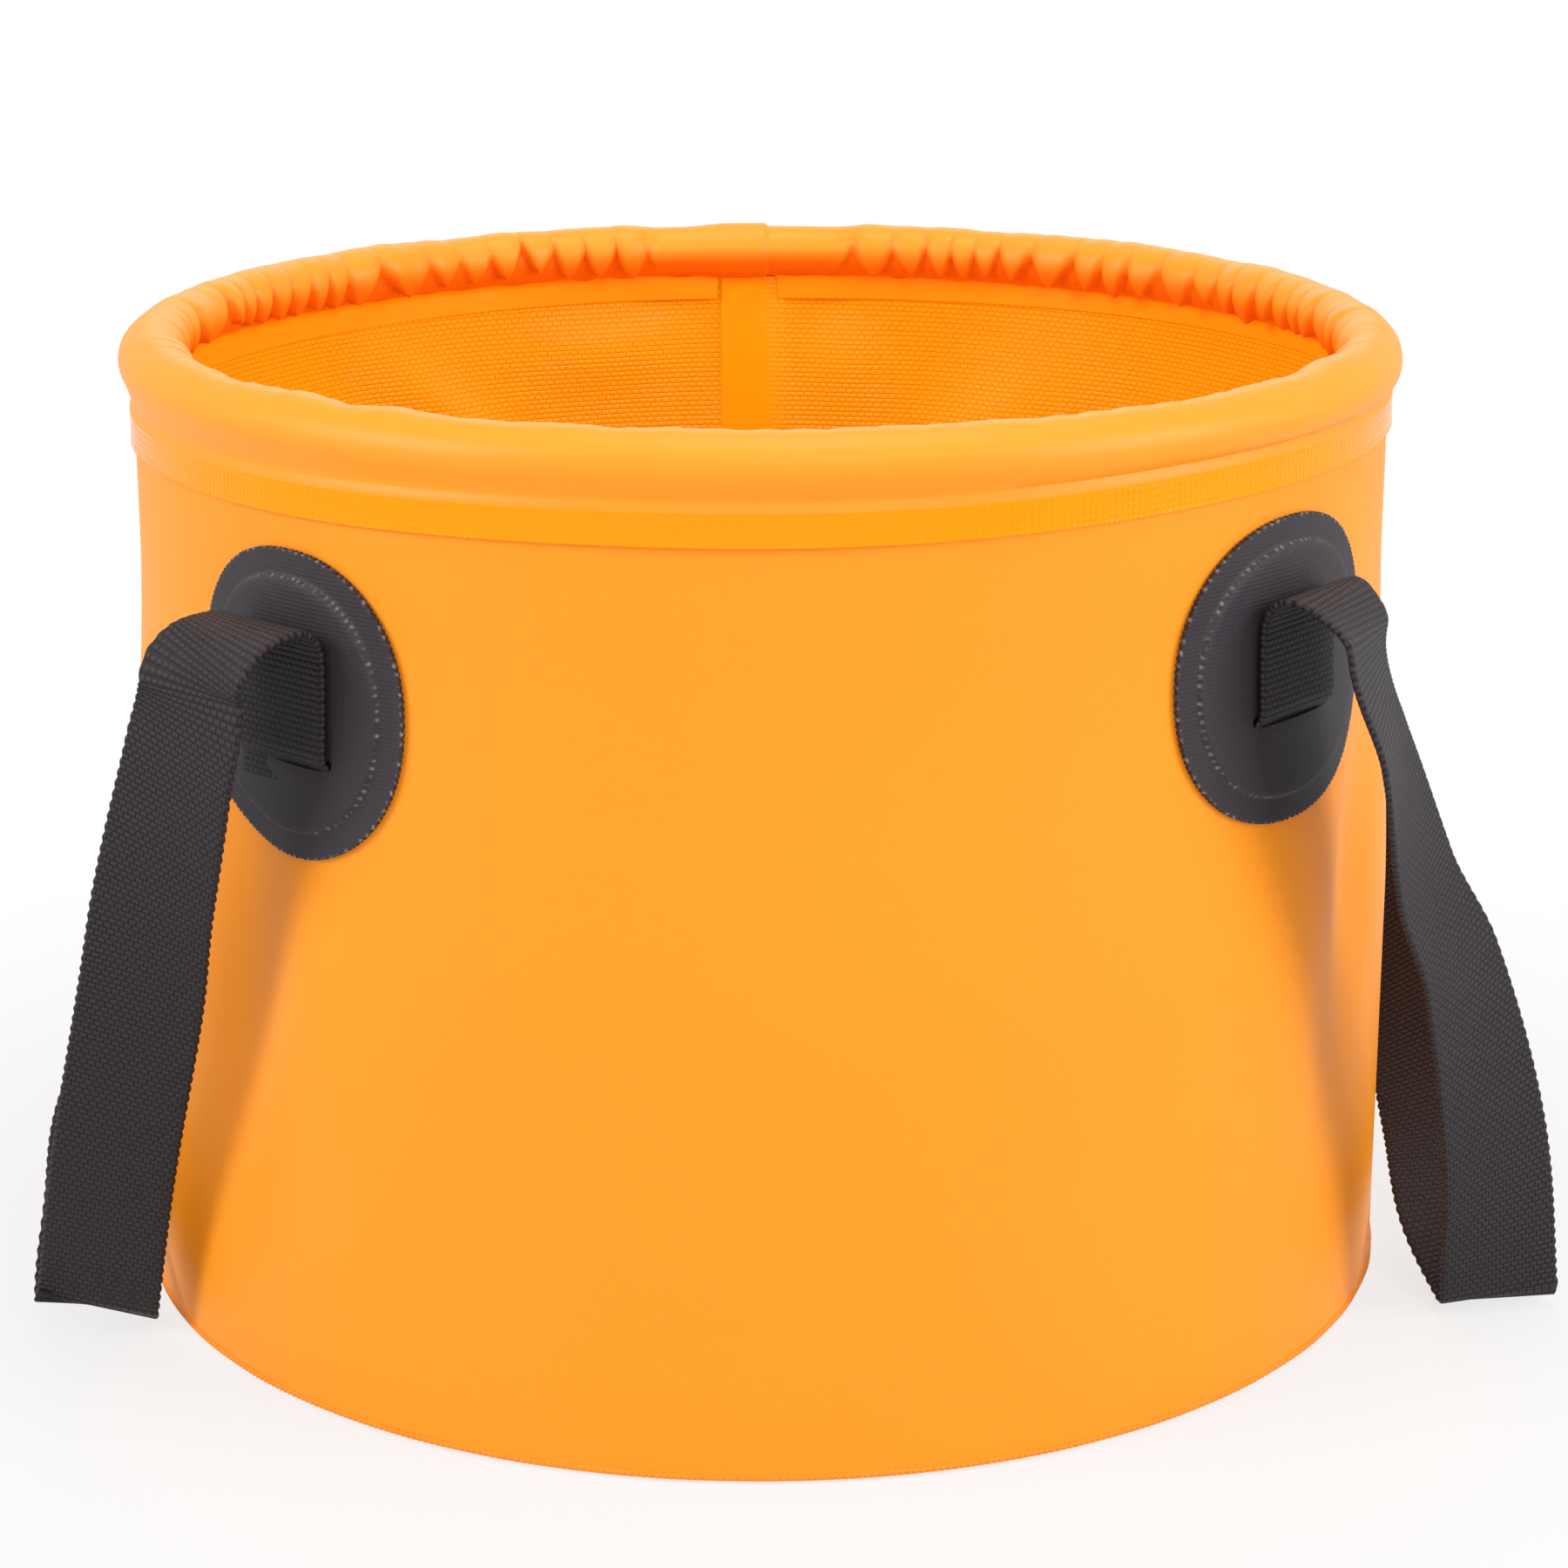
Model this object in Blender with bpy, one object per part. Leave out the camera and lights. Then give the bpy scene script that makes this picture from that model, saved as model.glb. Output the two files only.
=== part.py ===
"""A collapsible camp bucket, standing open with its two webbing handles hanging down.

Metres, +Z up. The origin is the middle of the base's underside. The front is -Y, and the
handles hang at -X and +X. Angles around the bucket run from the front towards +X.

The rim is a stiff hose in a gathered sleeve. The sleeve's two skirts hold the wall, one sheet
rolled into a drum with a lap seam at the back, and the base disc closes its foot. Each handle
is one length of webbing that comes up out of the slot of a front patch, bends over, hangs to a
crease near the ground and goes back up to the slot of a rear patch.
"""

import math

import bmesh
import bpy
from mathutils import Vector

# Sheets and clearances
CLOTH_THICKNESS = 0.0008
SLEEVE_THICKNESS = 0.0007
SEAT_GAP = 0.0003

# The drum's outer face: full up to the belly, drawn in to the mouth above it
FOOT_RADIUS = 0.130
MOUTH_RADIUS = 0.1262
BELLY_HEIGHT = 0.078
NECK_HEIGHT = 0.156
BUCKET_HEIGHT = 0.1956
WALL_COLUMNS = 72
WALL_ROW_SHARES = (0, 0.22, 0.43, 0.54, 0.65, 0.75, 0.86, 1)

# The wall's lap seam at the back: one end of the sheet bends inwards over the other
LAP_WIDTH = 0.0125
LAP_BEND = 0.012
LAP_EDGE = 0.0003
LAP_ANGLE = 177.9

# Base disc: a flat floor, a raised channel and a flange turned down inside the wall's foot
FLANGE_HEIGHT = 0.004
CHANNEL_WIDTH = 0.0105
CHANNEL_SLOPE = 0.008
BASE_COLUMNS = 64

# Rim: the hose, its sleeve and the two skirts
RIM_TUBE_RADIUS = 0.0062
RIM_INSET = 0.0033
OUTER_SKIRT_DROP = 0.0137
INNER_SKIRT_DROP = 0.0109
BEND_SHARE = 1.1
SLEEVE_ARC_STEPS = 9
GATHER_PITCH = 0.0086
GATHER_DEPTH = 0.0011
GATHER_FREE_LENGTH = 0.046
GATHER_RISE_ANGLES = (50, 190)
SLEEVE_JOINT_ANGLE = 176
SLEEVE_LAP_WIDTH = 0.020
HOSE_WALL = 0.0015
HOSE_SIDES = 8
HOSE_COLUMNS = 48

# Joiner: a barbed plug with a collar between the hose's ends
JOINER_LENGTH = 0.024
COLLAR_WIDTH = 0.002
BARB_SHARES = ((1, 0.75), (0.86, 1), (0.66, 0.8), (0.64, 1), (0.44, 0.8), (0.42, 1), (0.22, 0.8))

# Handle patches: an oval facing with a slot over a smaller backing
PATCH_ANGLE = 46.4
PATCH_HEIGHT = 0.1413
PATCH_WIDTH = 0.059
PATCH_LENGTH = 0.058
PATCH_RING = 0.0058
PATCH_STEP = 0.0012
PATCH_SIDES = 20
PATCH_SQUARENESS = 0.9
FACING_THICKNESS = 0.001
BACKING_THICKNESS = 0.0008
BACKING_MARGIN = 0.0012
SLOT_HEIGHT = 0.1305
SLOT_OPENING = 0.004
SLOT_MARGIN = 0.0007
SLOT_SQUARENESS = 0.35
FACING_RING_SHARES = ((0, 1), (0.65, 1), (0.85, 0.85))
FACING_RIM_SHARES = (0.5, 0.3, 0)

# Webbing
WEBBING_WIDTH = 0.025
WEBBING_THICKNESS = 0.0013
TAIL_LENGTH = 0.004
ARCH_SPRING_HEIGHT = 0.146
ARCH_RISE = 0.0065
ARCH_REACH = 0.005
ARCH_STEPS = 4
HINGE_CLEARANCE = 0.002
FOLD_RADIUS = 0.0013
FOLD_STEPS = 5
ROUTE_STEP = 0.006

# Routes of the webbing from its arch over the patch to its crease, at the front and at the
# rear. Each row is the share of the way round from the front patch to the rear one, the
# distance from the wall as a share of the webbing's width, the height as a share of the arch's,
# and the direction of the webbing's width, in degrees from +X. Both ends of a handle have the
# same arch, which ends where the webbing hangs plumb and swings.
RIGHT_ARCH_SHARES = ((0.003, 0.68, 0.985, 54), (0.006, 0.85, 0.93, 64))
RIGHT_FRONT_SHARES = (
    (0.026, 0.82, 0.853, 69),
    (0.083, 0.81, 0.656, 53),
    (0.125, 0.96, 0.525, 43),
    (0.186, 1.14, 0.262, 23),
)
RIGHT_FOLD_SHARES = (0.232, 1.165, 0.0135, 5)
RIGHT_REAR_SHARES = (
    (0.3, 0.74, 0.09, -14),
    (0.4, 0.58, 0.16, -34),
    (0.5, 0.5, 0.25, -48),
    (0.62, 0.48, 0.38, -58),
    (0.78, 0.56, 0.57, -62),
    (0.9, 0.72, 0.72, -64),
    (0.975, 0.84, 0.84, -64),
)
LEFT_ARCH_SHARES = ((0.005, 0.68, 0.985, 43), (0.015, 0.86, 0.93, 38))
LEFT_FRONT_SHARES = (
    (0.034, 0.84, 0.853, 36),
    (0.088, 0.72, 0.656, 24),
    (0.122, 0.66, 0.525, 14),
    (0.192, 0.69, 0.262, 8),
)
LEFT_FOLD_SHARES = (0.253, 0.71, 0.03, 6)
LEFT_REAR_SHARES = (
    (0.31, 0.56, 0.13, -46),
    (0.41, 0.41, 0.22, -68),
    (0.54, 0.33, 0.36, -78),
    (0.72, 0.36, 0.53, -72),
    (0.88, 0.62, 0.7, -52),
    (0.972, 0.84, 0.84, -40),
)
LEFT_FOLD_TILT = 13

# Looks: colour, roughness and metallic value
ORANGE_CLOTH = ((0.95, 0.36, 0.045), 0.42, 0)
BLACK_CLOTH = ((0.052, 0.046, 0.055), 0.5, 0)
BLACK_WEBBING = ((0.022, 0.018, 0.021), 0.85, 0)
GREY_PLASTIC = ((0.5, 0.5, 0.48), 0.45, 0)
WHITE_PLASTIC = ((0.75, 0.75, 0.72), 0.4, 0)
SHARP_ANGLE = 45

# Worked out from the sizes above
RIM_RADIUS = MOUTH_RADIUS - RIM_INSET
RIM_HEIGHT = BUCKET_HEIGHT - RIM_TUBE_RADIUS
WALL_HEIGHT = RIM_HEIGHT - BEND_SHARE * RIM_TUBE_RADIUS
PLATEAU = SEAT_GAP + BACKING_THICKNESS + SEAT_GAP
TAIL_OFFSET = PLATEAU + WEBBING_THICKNESS / 2
FRONT_OFFSET = PLATEAU + FACING_THICKNESS + SEAT_GAP + WEBBING_THICKNESS / 2
ARCH_HEIGHT = ARCH_SPRING_HEIGHT + ARCH_RISE


def on_ring(radius, angle, height):
    """Point at an angle in degrees from the front, at a radius and a height."""
    turn = math.radians(angle)
    return Vector((radius * math.sin(turn), -radius * math.cos(turn), height))


def degrees_along(length, radius):
    """Angle in degrees that an arc of this length takes at this radius."""
    return math.degrees(length / radius)


def ease(value, low, high):
    """Smooth step from 0 at low to 1 at high."""
    share = min(max((value - low) / (high - low), 0), 1)
    return share * share * (3 - 2 * share)


def wall_radius(height):
    """Outer radius of the wall: a cosine draws it in between the belly and the neck."""
    rise = min(max((height - BELLY_HEIGHT) / (NECK_HEIGHT - BELLY_HEIGHT), 0), 1)
    return FOOT_RADIUS - (FOOT_RADIUS - MOUTH_RADIUS) * (1 - math.cos(math.pi * rise)) / 2


def bridge(first, second):
    """Faces between two closed rows of vertex numbers, one of which may have twice as many."""
    if len(first) > len(second):
        first, second = second, first
    faces = []
    count = len(first)
    ratio = len(second) // count
    for index in range(count):
        after = (index + 1) % count
        far_side = [second[(index * ratio + step) % len(second)] for step in range(ratio, -1, -1)]
        faces.append([first[index], first[after], *far_side])
    return faces


def skin(rows, closed):
    """Vertices and faces over rows of points, each a closed loop.

    A closed skin joins its last row to its first, and an open one caps both.
    """
    points = []
    numbers = []
    for row in rows:
        numbers.append(list(range(len(points), len(points) + len(row))))
        points.extend(row)
    faces = []
    for index in range(len(rows) - 1):
        faces.extend(bridge(numbers[index], numbers[index + 1]))
    if closed:
        faces.extend(bridge(numbers[-1], numbers[0]))
    else:
        faces.append(numbers[0])
        faces.append(numbers[-1])
    return points, faces


def make_mesh(name, rows, closed):
    """A closed mesh over the rows, facing outwards and shaded smooth up to its sharp edges."""
    points, faces = skin(rows, closed)
    mesh = bpy.data.meshes.new(name)
    mesh.from_pydata(points, [], faces)
    body = bmesh.new()
    body.from_mesh(mesh)
    bmesh.ops.recalc_face_normals(body, faces=body.faces)
    body.to_mesh(mesh)
    body.free()
    mesh.shade_smooth()
    mesh.set_sharp_from_angle(angle=math.radians(SHARP_ANGLE))
    return mesh


def make_material(name, look):
    """A plain Principled material."""
    colour, roughness, metallic = look
    material = bpy.data.materials.new(name)
    material.use_nodes = True
    shader = material.node_tree.nodes["Principled BSDF"]
    shader.inputs["Base Color"].default_value = (*colour, 1)
    shader.inputs["Roughness"].default_value = roughness
    shader.inputs["Metallic"].default_value = metallic
    material.diffuse_color = (*colour, 1)
    return material


def add_object(name, mesh, look, parent=None, turn=0):
    """Put a mesh in the scene under its parent, turned about the bucket's axis."""
    item = bpy.data.objects.new(name, mesh)
    bpy.context.scene.collection.objects.link(item)
    item.parent = parent
    item.rotation_euler.z = math.radians(turn)
    item.data.materials.clear()
    item.data.materials.append(make_material(name, look))
    return item


def add_axis(name, location):
    """An empty on a joint's axis, which carries what moves about it."""
    empty = bpy.data.objects.new(name, None)
    empty.location = location
    bpy.context.scene.collection.objects.link(empty)
    return empty


def path_normals(points):
    """Mitred normals of a path of (radius, height) points, on its outer, right-hand side."""
    sides = []
    for start, end in zip(points, points[1:]):
        along = Vector((end[0] - start[0], end[1] - start[1])).normalized()
        sides.append(Vector((along.y, -along.x)))
    normals = [sides[0]]
    for before, after in zip(sides, sides[1:]):
        mean = (before + after).normalized()
        normals.append(mean / mean.dot(after))
    normals.append(sides[-1])
    return normals


def tangent_angle(centre, radius, point, side):
    """Angle in degrees where a line from the point touches the circle, on the given side."""
    offset = Vector((point[0] - centre[0], point[1] - centre[1]))
    bearing = math.degrees(math.atan2(offset.y, offset.x))
    return bearing + side * math.degrees(math.acos(radius / offset.length))


def lap_inset(angle):
    """How far a piece inside the wall gives way to the lap seam at this angle."""
    near = degrees_along(LAP_WIDTH / 2 + LAP_BEND, MOUTH_RADIUS)
    far = near + degrees_along(LAP_BEND, MOUTH_RADIUS)
    return CLOTH_THICKNESS * (1 - ease(abs(angle - LAP_ANGLE), near, far))


def wall_columns():
    """Angle of each column of the wall, with how far its outer and inner faces step inwards.

    The end of the sheet that lies inside bends inwards, passes the outer end's raw edge and
    stops at its own.
    """
    half_lap = degrees_along(LAP_WIDTH / 2, FOOT_RADIUS)
    half_edge = degrees_along(LAP_EDGE / 2, FOOT_RADIUS)
    outer_edge = LAP_ANGLE - half_lap
    inner_edge = LAP_ANGLE + half_lap
    bend_start = outer_edge - degrees_along(LAP_BEND, FOOT_RADIUS)
    columns = []
    for index in range(WALL_COLUMNS):
        angle = 360 * index / WALL_COLUMNS
        if angle < bend_start or angle > inner_edge + half_edge:
            columns.append((angle, 0, 0))
    columns.append((bend_start, 0, 0))
    columns.append((outer_edge - half_edge, CLOTH_THICKNESS, CLOTH_THICKNESS))
    columns.append((outer_edge + half_edge, 0, CLOTH_THICKNESS))
    columns.append((inner_edge - half_edge, 0, CLOTH_THICKNESS))
    columns.append((inner_edge + half_edge, 0, 0))
    return sorted(columns)


def wall_panel_mesh():
    """One sheet rolled into a drum, its ends lapped at the back."""
    heights = [share * WALL_HEIGHT for share in WALL_ROW_SHARES]
    columns = []
    for angle, outer_step, inner_step in wall_columns():
        outer = [on_ring(wall_radius(height) - outer_step, angle, height) for height in heights]
        inner = [
            on_ring(wall_radius(height) - CLOTH_THICKNESS - inner_step, angle, height)
            for height in reversed(heights)
        ]
        columns.append(outer + inner)
    return make_mesh("wall_panel", columns, closed=True)


def base_disc_mesh():
    """A flat floor that rises into a channel, with a flange turned down inside the wall."""
    half = CLOTH_THICKNESS / 2
    flange_radius = FOOT_RADIUS - CLOTH_THICKNESS - SEAT_GAP - half
    channel_start = flange_radius - CHANNEL_WIDTH
    path = [
        (channel_start, half),
        (channel_start + CHANNEL_SLOPE, FLANGE_HEIGHT - half),
        (flange_radius, FLANGE_HEIGHT - half),
        (flange_radius, 0),
    ]
    normals = path_normals(path)
    normals[0] = Vector((0, -1))
    under = [(point[0] + side.x * half, point[1] + side.y * half) for point, side in zip(path, normals)]
    above = [(point[0] - side.x * half, point[1] - side.y * half) for point, side in zip(path, normals)]
    angles = [360 * index / BASE_COLUMNS for index in range(BASE_COLUMNS)]
    rows = [
        [on_ring(radius - lap_inset(angle), angle, height) for angle in angles]
        for radius, height in under + above[::-1]
    ]
    return make_mesh("base_disc", rows, closed=False)


def sleeve_path():
    """Centre line of the sleeve's sheet, from the outer skirt over the hose to the inner one.

    Returns its (radius, height) points and how much of the gathers each has.
    """
    centre = (RIM_RADIUS, RIM_HEIGHT)
    sheet_radius = RIM_TUBE_RADIUS - SLEEVE_THICKNESS / 2
    outer_line = MOUTH_RADIUS + SEAT_GAP + SLEEVE_THICKNESS / 2
    inner_line = MOUTH_RADIUS - CLOTH_THICKNESS - SEAT_GAP - SLEEVE_THICKNESS / 2
    outer_bend = (outer_line, WALL_HEIGHT)
    inner_bend = (inner_line, RIM_HEIGHT - RIM_TUBE_RADIUS)
    first = tangent_angle(centre, sheet_radius, outer_bend, 1)
    last = 360 + tangent_angle(centre, sheet_radius, inner_bend, -1)
    points = [(outer_line, RIM_HEIGHT - OUTER_SKIRT_DROP), outer_bend]
    gathers = [0, 0]
    for index in range(SLEEVE_ARC_STEPS + 1):
        angle = first + (last - first) * index / SLEEVE_ARC_STEPS
        turn = math.radians(angle)
        points.append((centre[0] + sheet_radius * math.cos(turn), centre[1] + sheet_radius * math.sin(turn)))
        gathers.append(ease(angle, *GATHER_RISE_ANGLES))
    points += [inner_bend, (inner_line, RIM_HEIGHT - INNER_SKIRT_DROP)]
    gathers += [0, 0]
    return points, gathers


def sleeve_columns():
    """Angle, gather height and lap height of each column round the sleeve.

    Even columns lie in the valleys of the gathers and odd ones on their crests. Three columns
    close up at the joint, where one end of the sleeve is lapped over the other.
    """
    count = 2 * round(math.tau * RIM_RADIUS / GATHER_PITCH)
    free_angle = degrees_along(GATHER_FREE_LENGTH / 2, RIM_RADIUS)
    edge_angle = degrees_along(LAP_EDGE / 2, RIM_RADIUS)
    lap_angle = degrees_along(SLEEVE_LAP_WIDTH, RIM_RADIUS)
    joint = 2 * round(SLEEVE_JOINT_ANGLE * count / 720)
    columns = []
    for index in range(count):
        angle = 360 * index / count
        height = 0
        if index % 2 and abs(angle - LAP_ANGLE) > free_angle:
            height = 0.75 + 0.25 * math.sin(2.4 * index)
            angle += 0.2 * math.sin(5.1 * index) * 360 / count
        if abs(index - joint) < 2:
            angle = SLEEVE_JOINT_ANGLE + (index - joint) * edge_angle
        past = angle - SLEEVE_JOINT_ANGLE
        lap = 1 - ease(past, lap_angle / 2, lap_angle) if past > 0 else 0
        columns.append((angle, height, lap))
    return columns


def rim_sleeve_mesh():
    """A strip of cloth folded over the hose, gathered on the inner side of the ring."""
    path, gathers = sleeve_path()
    normals = path_normals(path)
    columns = sleeve_columns()
    half = SLEEVE_THICKNESS / 2
    exposed = []
    hidden = []
    for index, (point, side, gather) in enumerate(zip(path, normals, gathers)):
        inner_skirt = index >= len(path) - 2
        row = []
        for angle, height, lap in columns if gather else columns[::2]:
            out = half + gather * height * GATHER_DEPTH + lap * SLEEVE_THICKNESS
            radius = point[0] + side.x * out - inner_skirt * lap_inset(angle)
            row.append(on_ring(radius, angle, point[1] + side.y * out))
        exposed.append(row)
        hidden.append([
            on_ring(point[0] - side.x * half - inner_skirt * lap_inset(angle), angle, point[1] - side.y * half)
            for angle, height, lap in columns[::2]
        ])
    return make_mesh("rim_sleeve", exposed + hidden[::-1], closed=True)


def tube_loop(angle, radius):
    """Closed loop of points round the rim tube's centre line, at an angle round the bucket."""
    loop = []
    for index in range(HOSE_SIDES):
        turn = math.tau * index / HOSE_SIDES
        across = RIM_RADIUS + radius * math.cos(turn)
        loop.append(on_ring(across, angle, RIM_HEIGHT + radius * math.sin(turn)))
    return loop


def hose_radius():
    """Largest hose that the sleeve's flat-sided bore takes with its clearance."""
    bore = RIM_TUBE_RADIUS - SLEEVE_THICKNESS
    return bore * math.cos(math.pi / (SLEEVE_ARC_STEPS + 2)) - SEAT_GAP


def rim_hose_mesh():
    """A stiff hose bent into a ring, open at its ends, which meet at the joiner's collar."""
    start = degrees_along(COLLAR_WIDTH / 2 + SEAT_GAP, RIM_RADIUS)
    angles = [
        LAP_ANGLE + start + (360 - 2 * start) * index / HOSE_COLUMNS
        for index in range(HOSE_COLUMNS + 1)
    ]
    rows = [tube_loop(angle, hose_radius()) for angle in angles]
    rows += [tube_loop(angle, hose_radius() - HOSE_WALL) for angle in reversed(angles)]
    return make_mesh("rim_hose", rows, closed=True)


def hose_joiner_mesh():
    """A barbed plug in both ends of the hose, with a collar between them."""
    plug_radius = (hose_radius() - HOSE_WALL) * math.cos(math.pi / HOSE_SIDES) - SEAT_GAP
    half_collar = COLLAR_WIDTH / 2
    stem = plug_radius * BARB_SHARES[0][1]
    half_profile = [(share * JOINER_LENGTH / 2, size * plug_radius) for share, size in BARB_SHARES]
    half_profile += [(half_collar, stem), (half_collar, hose_radius())]
    profile = [(-along, radius) for along, radius in half_profile]
    profile += reversed(half_profile)
    rows = [
        tube_loop(LAP_ANGLE + degrees_along(along, RIM_RADIUS), radius)
        for along, radius in profile
    ]
    return make_mesh("hose_joiner", rows, closed=False)


def oval(half_width, half_height, squareness, centre_height, sides):
    """Closed loop of (across, height) points on a rounded oval."""
    loop = []
    for index in range(sides):
        turn = math.tau * (index + 0.5) / sides
        across = math.copysign(abs(math.cos(turn)) ** squareness, math.cos(turn))
        up = math.copysign(abs(math.sin(turn)) ** squareness, math.sin(turn))
        loop.append((half_width * across, centre_height + half_height * up))
    return loop


def on_wall(across, height, offset):
    """Point on the wall's front, so far across, at a height and off the wall's outer face."""
    radius = wall_radius(height) + offset
    return on_ring(radius, degrees_along(across, MOUTH_RADIUS), height)


def facing_levels(across, height, raise_share, tail_share):
    """How far the facing's underside is off the wall.

    It clears the backing inside the patch's ring, and the flat tail below the slot.
    """
    below = ease(SLOT_HEIGHT - height, -SLOT_OPENING / 4, SLOT_OPENING / 4)
    flatness = across * across / (2 * MOUTH_RADIUS)
    tail = WEBBING_THICKNESS + SEAT_GAP + min(flatness, WEBBING_THICKNESS)
    return SEAT_GAP + raise_share * (PLATEAU - SEAT_GAP) + tail_share * below * tail


def patch_facing_mesh():
    """An oval sheet with a slot, raised over the backing and over the webbing's tail."""
    half_width = PATCH_WIDTH / 2
    half_height = PATCH_LENGTH / 2
    slot = oval(WEBBING_WIDTH / 2 + SLOT_MARGIN, SLOT_OPENING / 2, SLOT_SQUARENESS, SLOT_HEIGHT, PATCH_SIDES)
    inner = oval(
        half_width - PATCH_RING, half_height - PATCH_RING, PATCH_SQUARENESS, PATCH_HEIGHT, PATCH_SIDES
    )
    stepped = oval(
        half_width - PATCH_RING + PATCH_STEP, half_height - PATCH_RING + PATCH_STEP,
        PATCH_SQUARENESS, PATCH_HEIGHT, PATCH_SIDES,
    )
    edge = oval(half_width, half_height, PATCH_SQUARENESS, PATCH_HEIGHT, PATCH_SIDES)
    rings = []
    for share, tail_share in FACING_RING_SHARES:
        ring = [
            (start[0] + (end[0] - start[0]) * share, start[1] + (end[1] - start[1]) * share)
            for start, end in zip(slot, inner)
        ]
        rings.append((ring, 1, tail_share))
    rings.append((inner, 1, FACING_RIM_SHARES[0]))
    rings.append((stepped, 0, FACING_RIM_SHARES[1]))
    rings.append((edge, 0, FACING_RIM_SHARES[2]))
    tops = []
    undersides = []
    for ring, raise_share, tail_share in rings:
        levels = [facing_levels(across, height, raise_share, tail_share) for across, height in ring]
        tops.append([
            on_wall(across, height, level + FACING_THICKNESS)
            for (across, height), level in zip(ring, levels)
        ])
        undersides.append([
            on_wall(across, height, level) for (across, height), level in zip(ring, levels)
        ])
    return make_mesh("patch_facing", tops + undersides[::-1], closed=True)


def patch_backing_mesh():
    """The smaller oval sheet between the wall and the webbing's tail."""
    half_width = PATCH_WIDTH / 2 - PATCH_RING - BACKING_MARGIN
    half_height = PATCH_LENGTH / 2 - PATCH_RING - BACKING_MARGIN
    rings = [
        oval(half_width * share, half_height * share, PATCH_SQUARENESS, PATCH_HEIGHT, PATCH_SIDES)
        for share in (0.2, 0.6, 1)
    ]
    rows = [[on_wall(across, height, SEAT_GAP) for across, height in ring] for ring in rings]
    rows += [
        [on_wall(across, height, SEAT_GAP + BACKING_THICKNESS) for across, height in ring]
        for ring in reversed(rings)
    ]
    return make_mesh("patch_backing", rows, closed=False)


def webbing_rows(stations, start_along, end_along):
    """Four corners of the webbing at each (centre, width direction) station.

    Its ends are cut square to the directions given.
    """
    rows = []
    for index, (centre, width) in enumerate(stations):
        if index == 0:
            along = start_along
        elif index == len(stations) - 1:
            along = end_along
        else:
            along = (stations[index + 1][0] - stations[index - 1][0]).normalized()
        across = (width - along * width.dot(along)).normalized()
        side = across * WEBBING_WIDTH / 2
        face = along.cross(across) * WEBBING_THICKNESS / 2
        rows.append([centre + side + face, centre - side + face, centre - side - face, centre + side - face])
    return rows


def crest_radius():
    """Radius round the bucket of the webbing's middle at the top of its arch."""
    return wall_radius(ARCH_SPRING_HEIGHT) + FRONT_OFFSET + ARCH_REACH


def route_point(row):
    """Point and width direction for one row of a route."""
    round_share, off_share, height_share, width_angle = row
    angle = PATCH_ANGLE + round_share * (180 - 2 * PATCH_ANGLE)
    height = height_share * ARCH_HEIGHT
    return on_ring(wall_radius(height) + off_share * WEBBING_WIDTH, angle, height), width_angle


def smooth_route(knots, start_along, end_along):
    """Stations along a smooth curve through the knots, each a (point, width angle) pair.

    A cubic joins each pair of knots. At a knot it runs along the chord of its neighbours, and
    at the ends along the directions given.
    """
    points = [point for point, angle in knots]
    slopes = [start_along]
    for before, after in zip(points, points[2:]):
        slopes.append((after - before).normalized())
    slopes.append(end_along)
    stations = []
    for index in range(len(knots) - 1):
        start, end = points[index], points[index + 1]
        length = (end - start).length
        steps = max(2, math.ceil(length / ROUTE_STEP))
        for step in range(steps + (index == len(knots) - 2)):
            share = step / steps
            rest = 1 - share
            point = start * rest * rest * (1 + 2 * share) + end * share * share * (1 + 2 * rest)
            point += slopes[index] * length * share * rest * rest
            point -= slopes[index + 1] * length * share * share * rest
            width_angle = knots[index][1] * rest + knots[index + 1][1] * share
            stations.append((point, width_angle))
    return stations


def rounded_fold(front, rear):
    """Join two strands that meet at a crease by a small arc."""
    corner, fold_angle = front[-1]
    front_up = (front[-2][0] - corner).normalized()
    rear_up = (rear[1][0] - corner).normalized()
    half_angle = front_up.angle(rear_up) / 2
    reach = FOLD_RADIUS / math.tan(half_angle)
    centre = corner + (front_up + rear_up).normalized() * FOLD_RADIUS / math.sin(half_angle)
    first = (corner + front_up * reach - centre).normalized()
    last = (corner + rear_up * reach - centre).normalized()
    arc = []
    for index in range(FOLD_STEPS + 1):
        arc.append((centre + first.slerp(last, index / FOLD_STEPS) * FOLD_RADIUS, fold_angle))
    kept_front = [station for station in front if (station[0] - corner).length > 2 * reach]
    kept_rear = [station for station in rear if (station[0] - corner).length > 2 * reach]
    return kept_front + arc + kept_rear


def strap_root_stations(arch_shares):
    """Stations of the webbing from its tail up through the slot and over its arch.

    They are worked out for the right front patch.
    """
    slot_bottom = SLOT_HEIGHT - SLOT_OPENING / 2
    slot_top = SLOT_HEIGHT + SLOT_OPENING / 2
    climb = [
        (slot_bottom - TAIL_LENGTH, TAIL_OFFSET),
        (slot_bottom, TAIL_OFFSET),
        (slot_top, FRONT_OFFSET),
        ((slot_top + ARCH_SPRING_HEIGHT) / 2, FRONT_OFFSET),
    ]
    centres = [on_ring(wall_radius(height) + offset, PATCH_ANGLE, height) for height, offset in climb]
    for index in range(ARCH_STEPS):
        turn = math.pi / 2 * index / ARCH_STEPS
        height = ARCH_SPRING_HEIGHT + ARCH_RISE * math.sin(turn)
        centres.append(on_ring(crest_radius() - ARCH_REACH * math.cos(turn), PATCH_ANGLE, height))
    crest = (on_ring(crest_radius(), PATCH_ANGLE, ARCH_HEIGHT), PATCH_ANGLE)
    knots = [crest, *map(route_point, arch_shares)]
    knots[-1][0].z += SEAT_GAP / 2
    outwards = on_ring(1, PATCH_ANGLE, 0)
    arch = smooth_route(knots, outwards, Vector((0, 0, -1)))
    return [(centre, PATCH_ANGLE) for centre in centres] + arch


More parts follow.
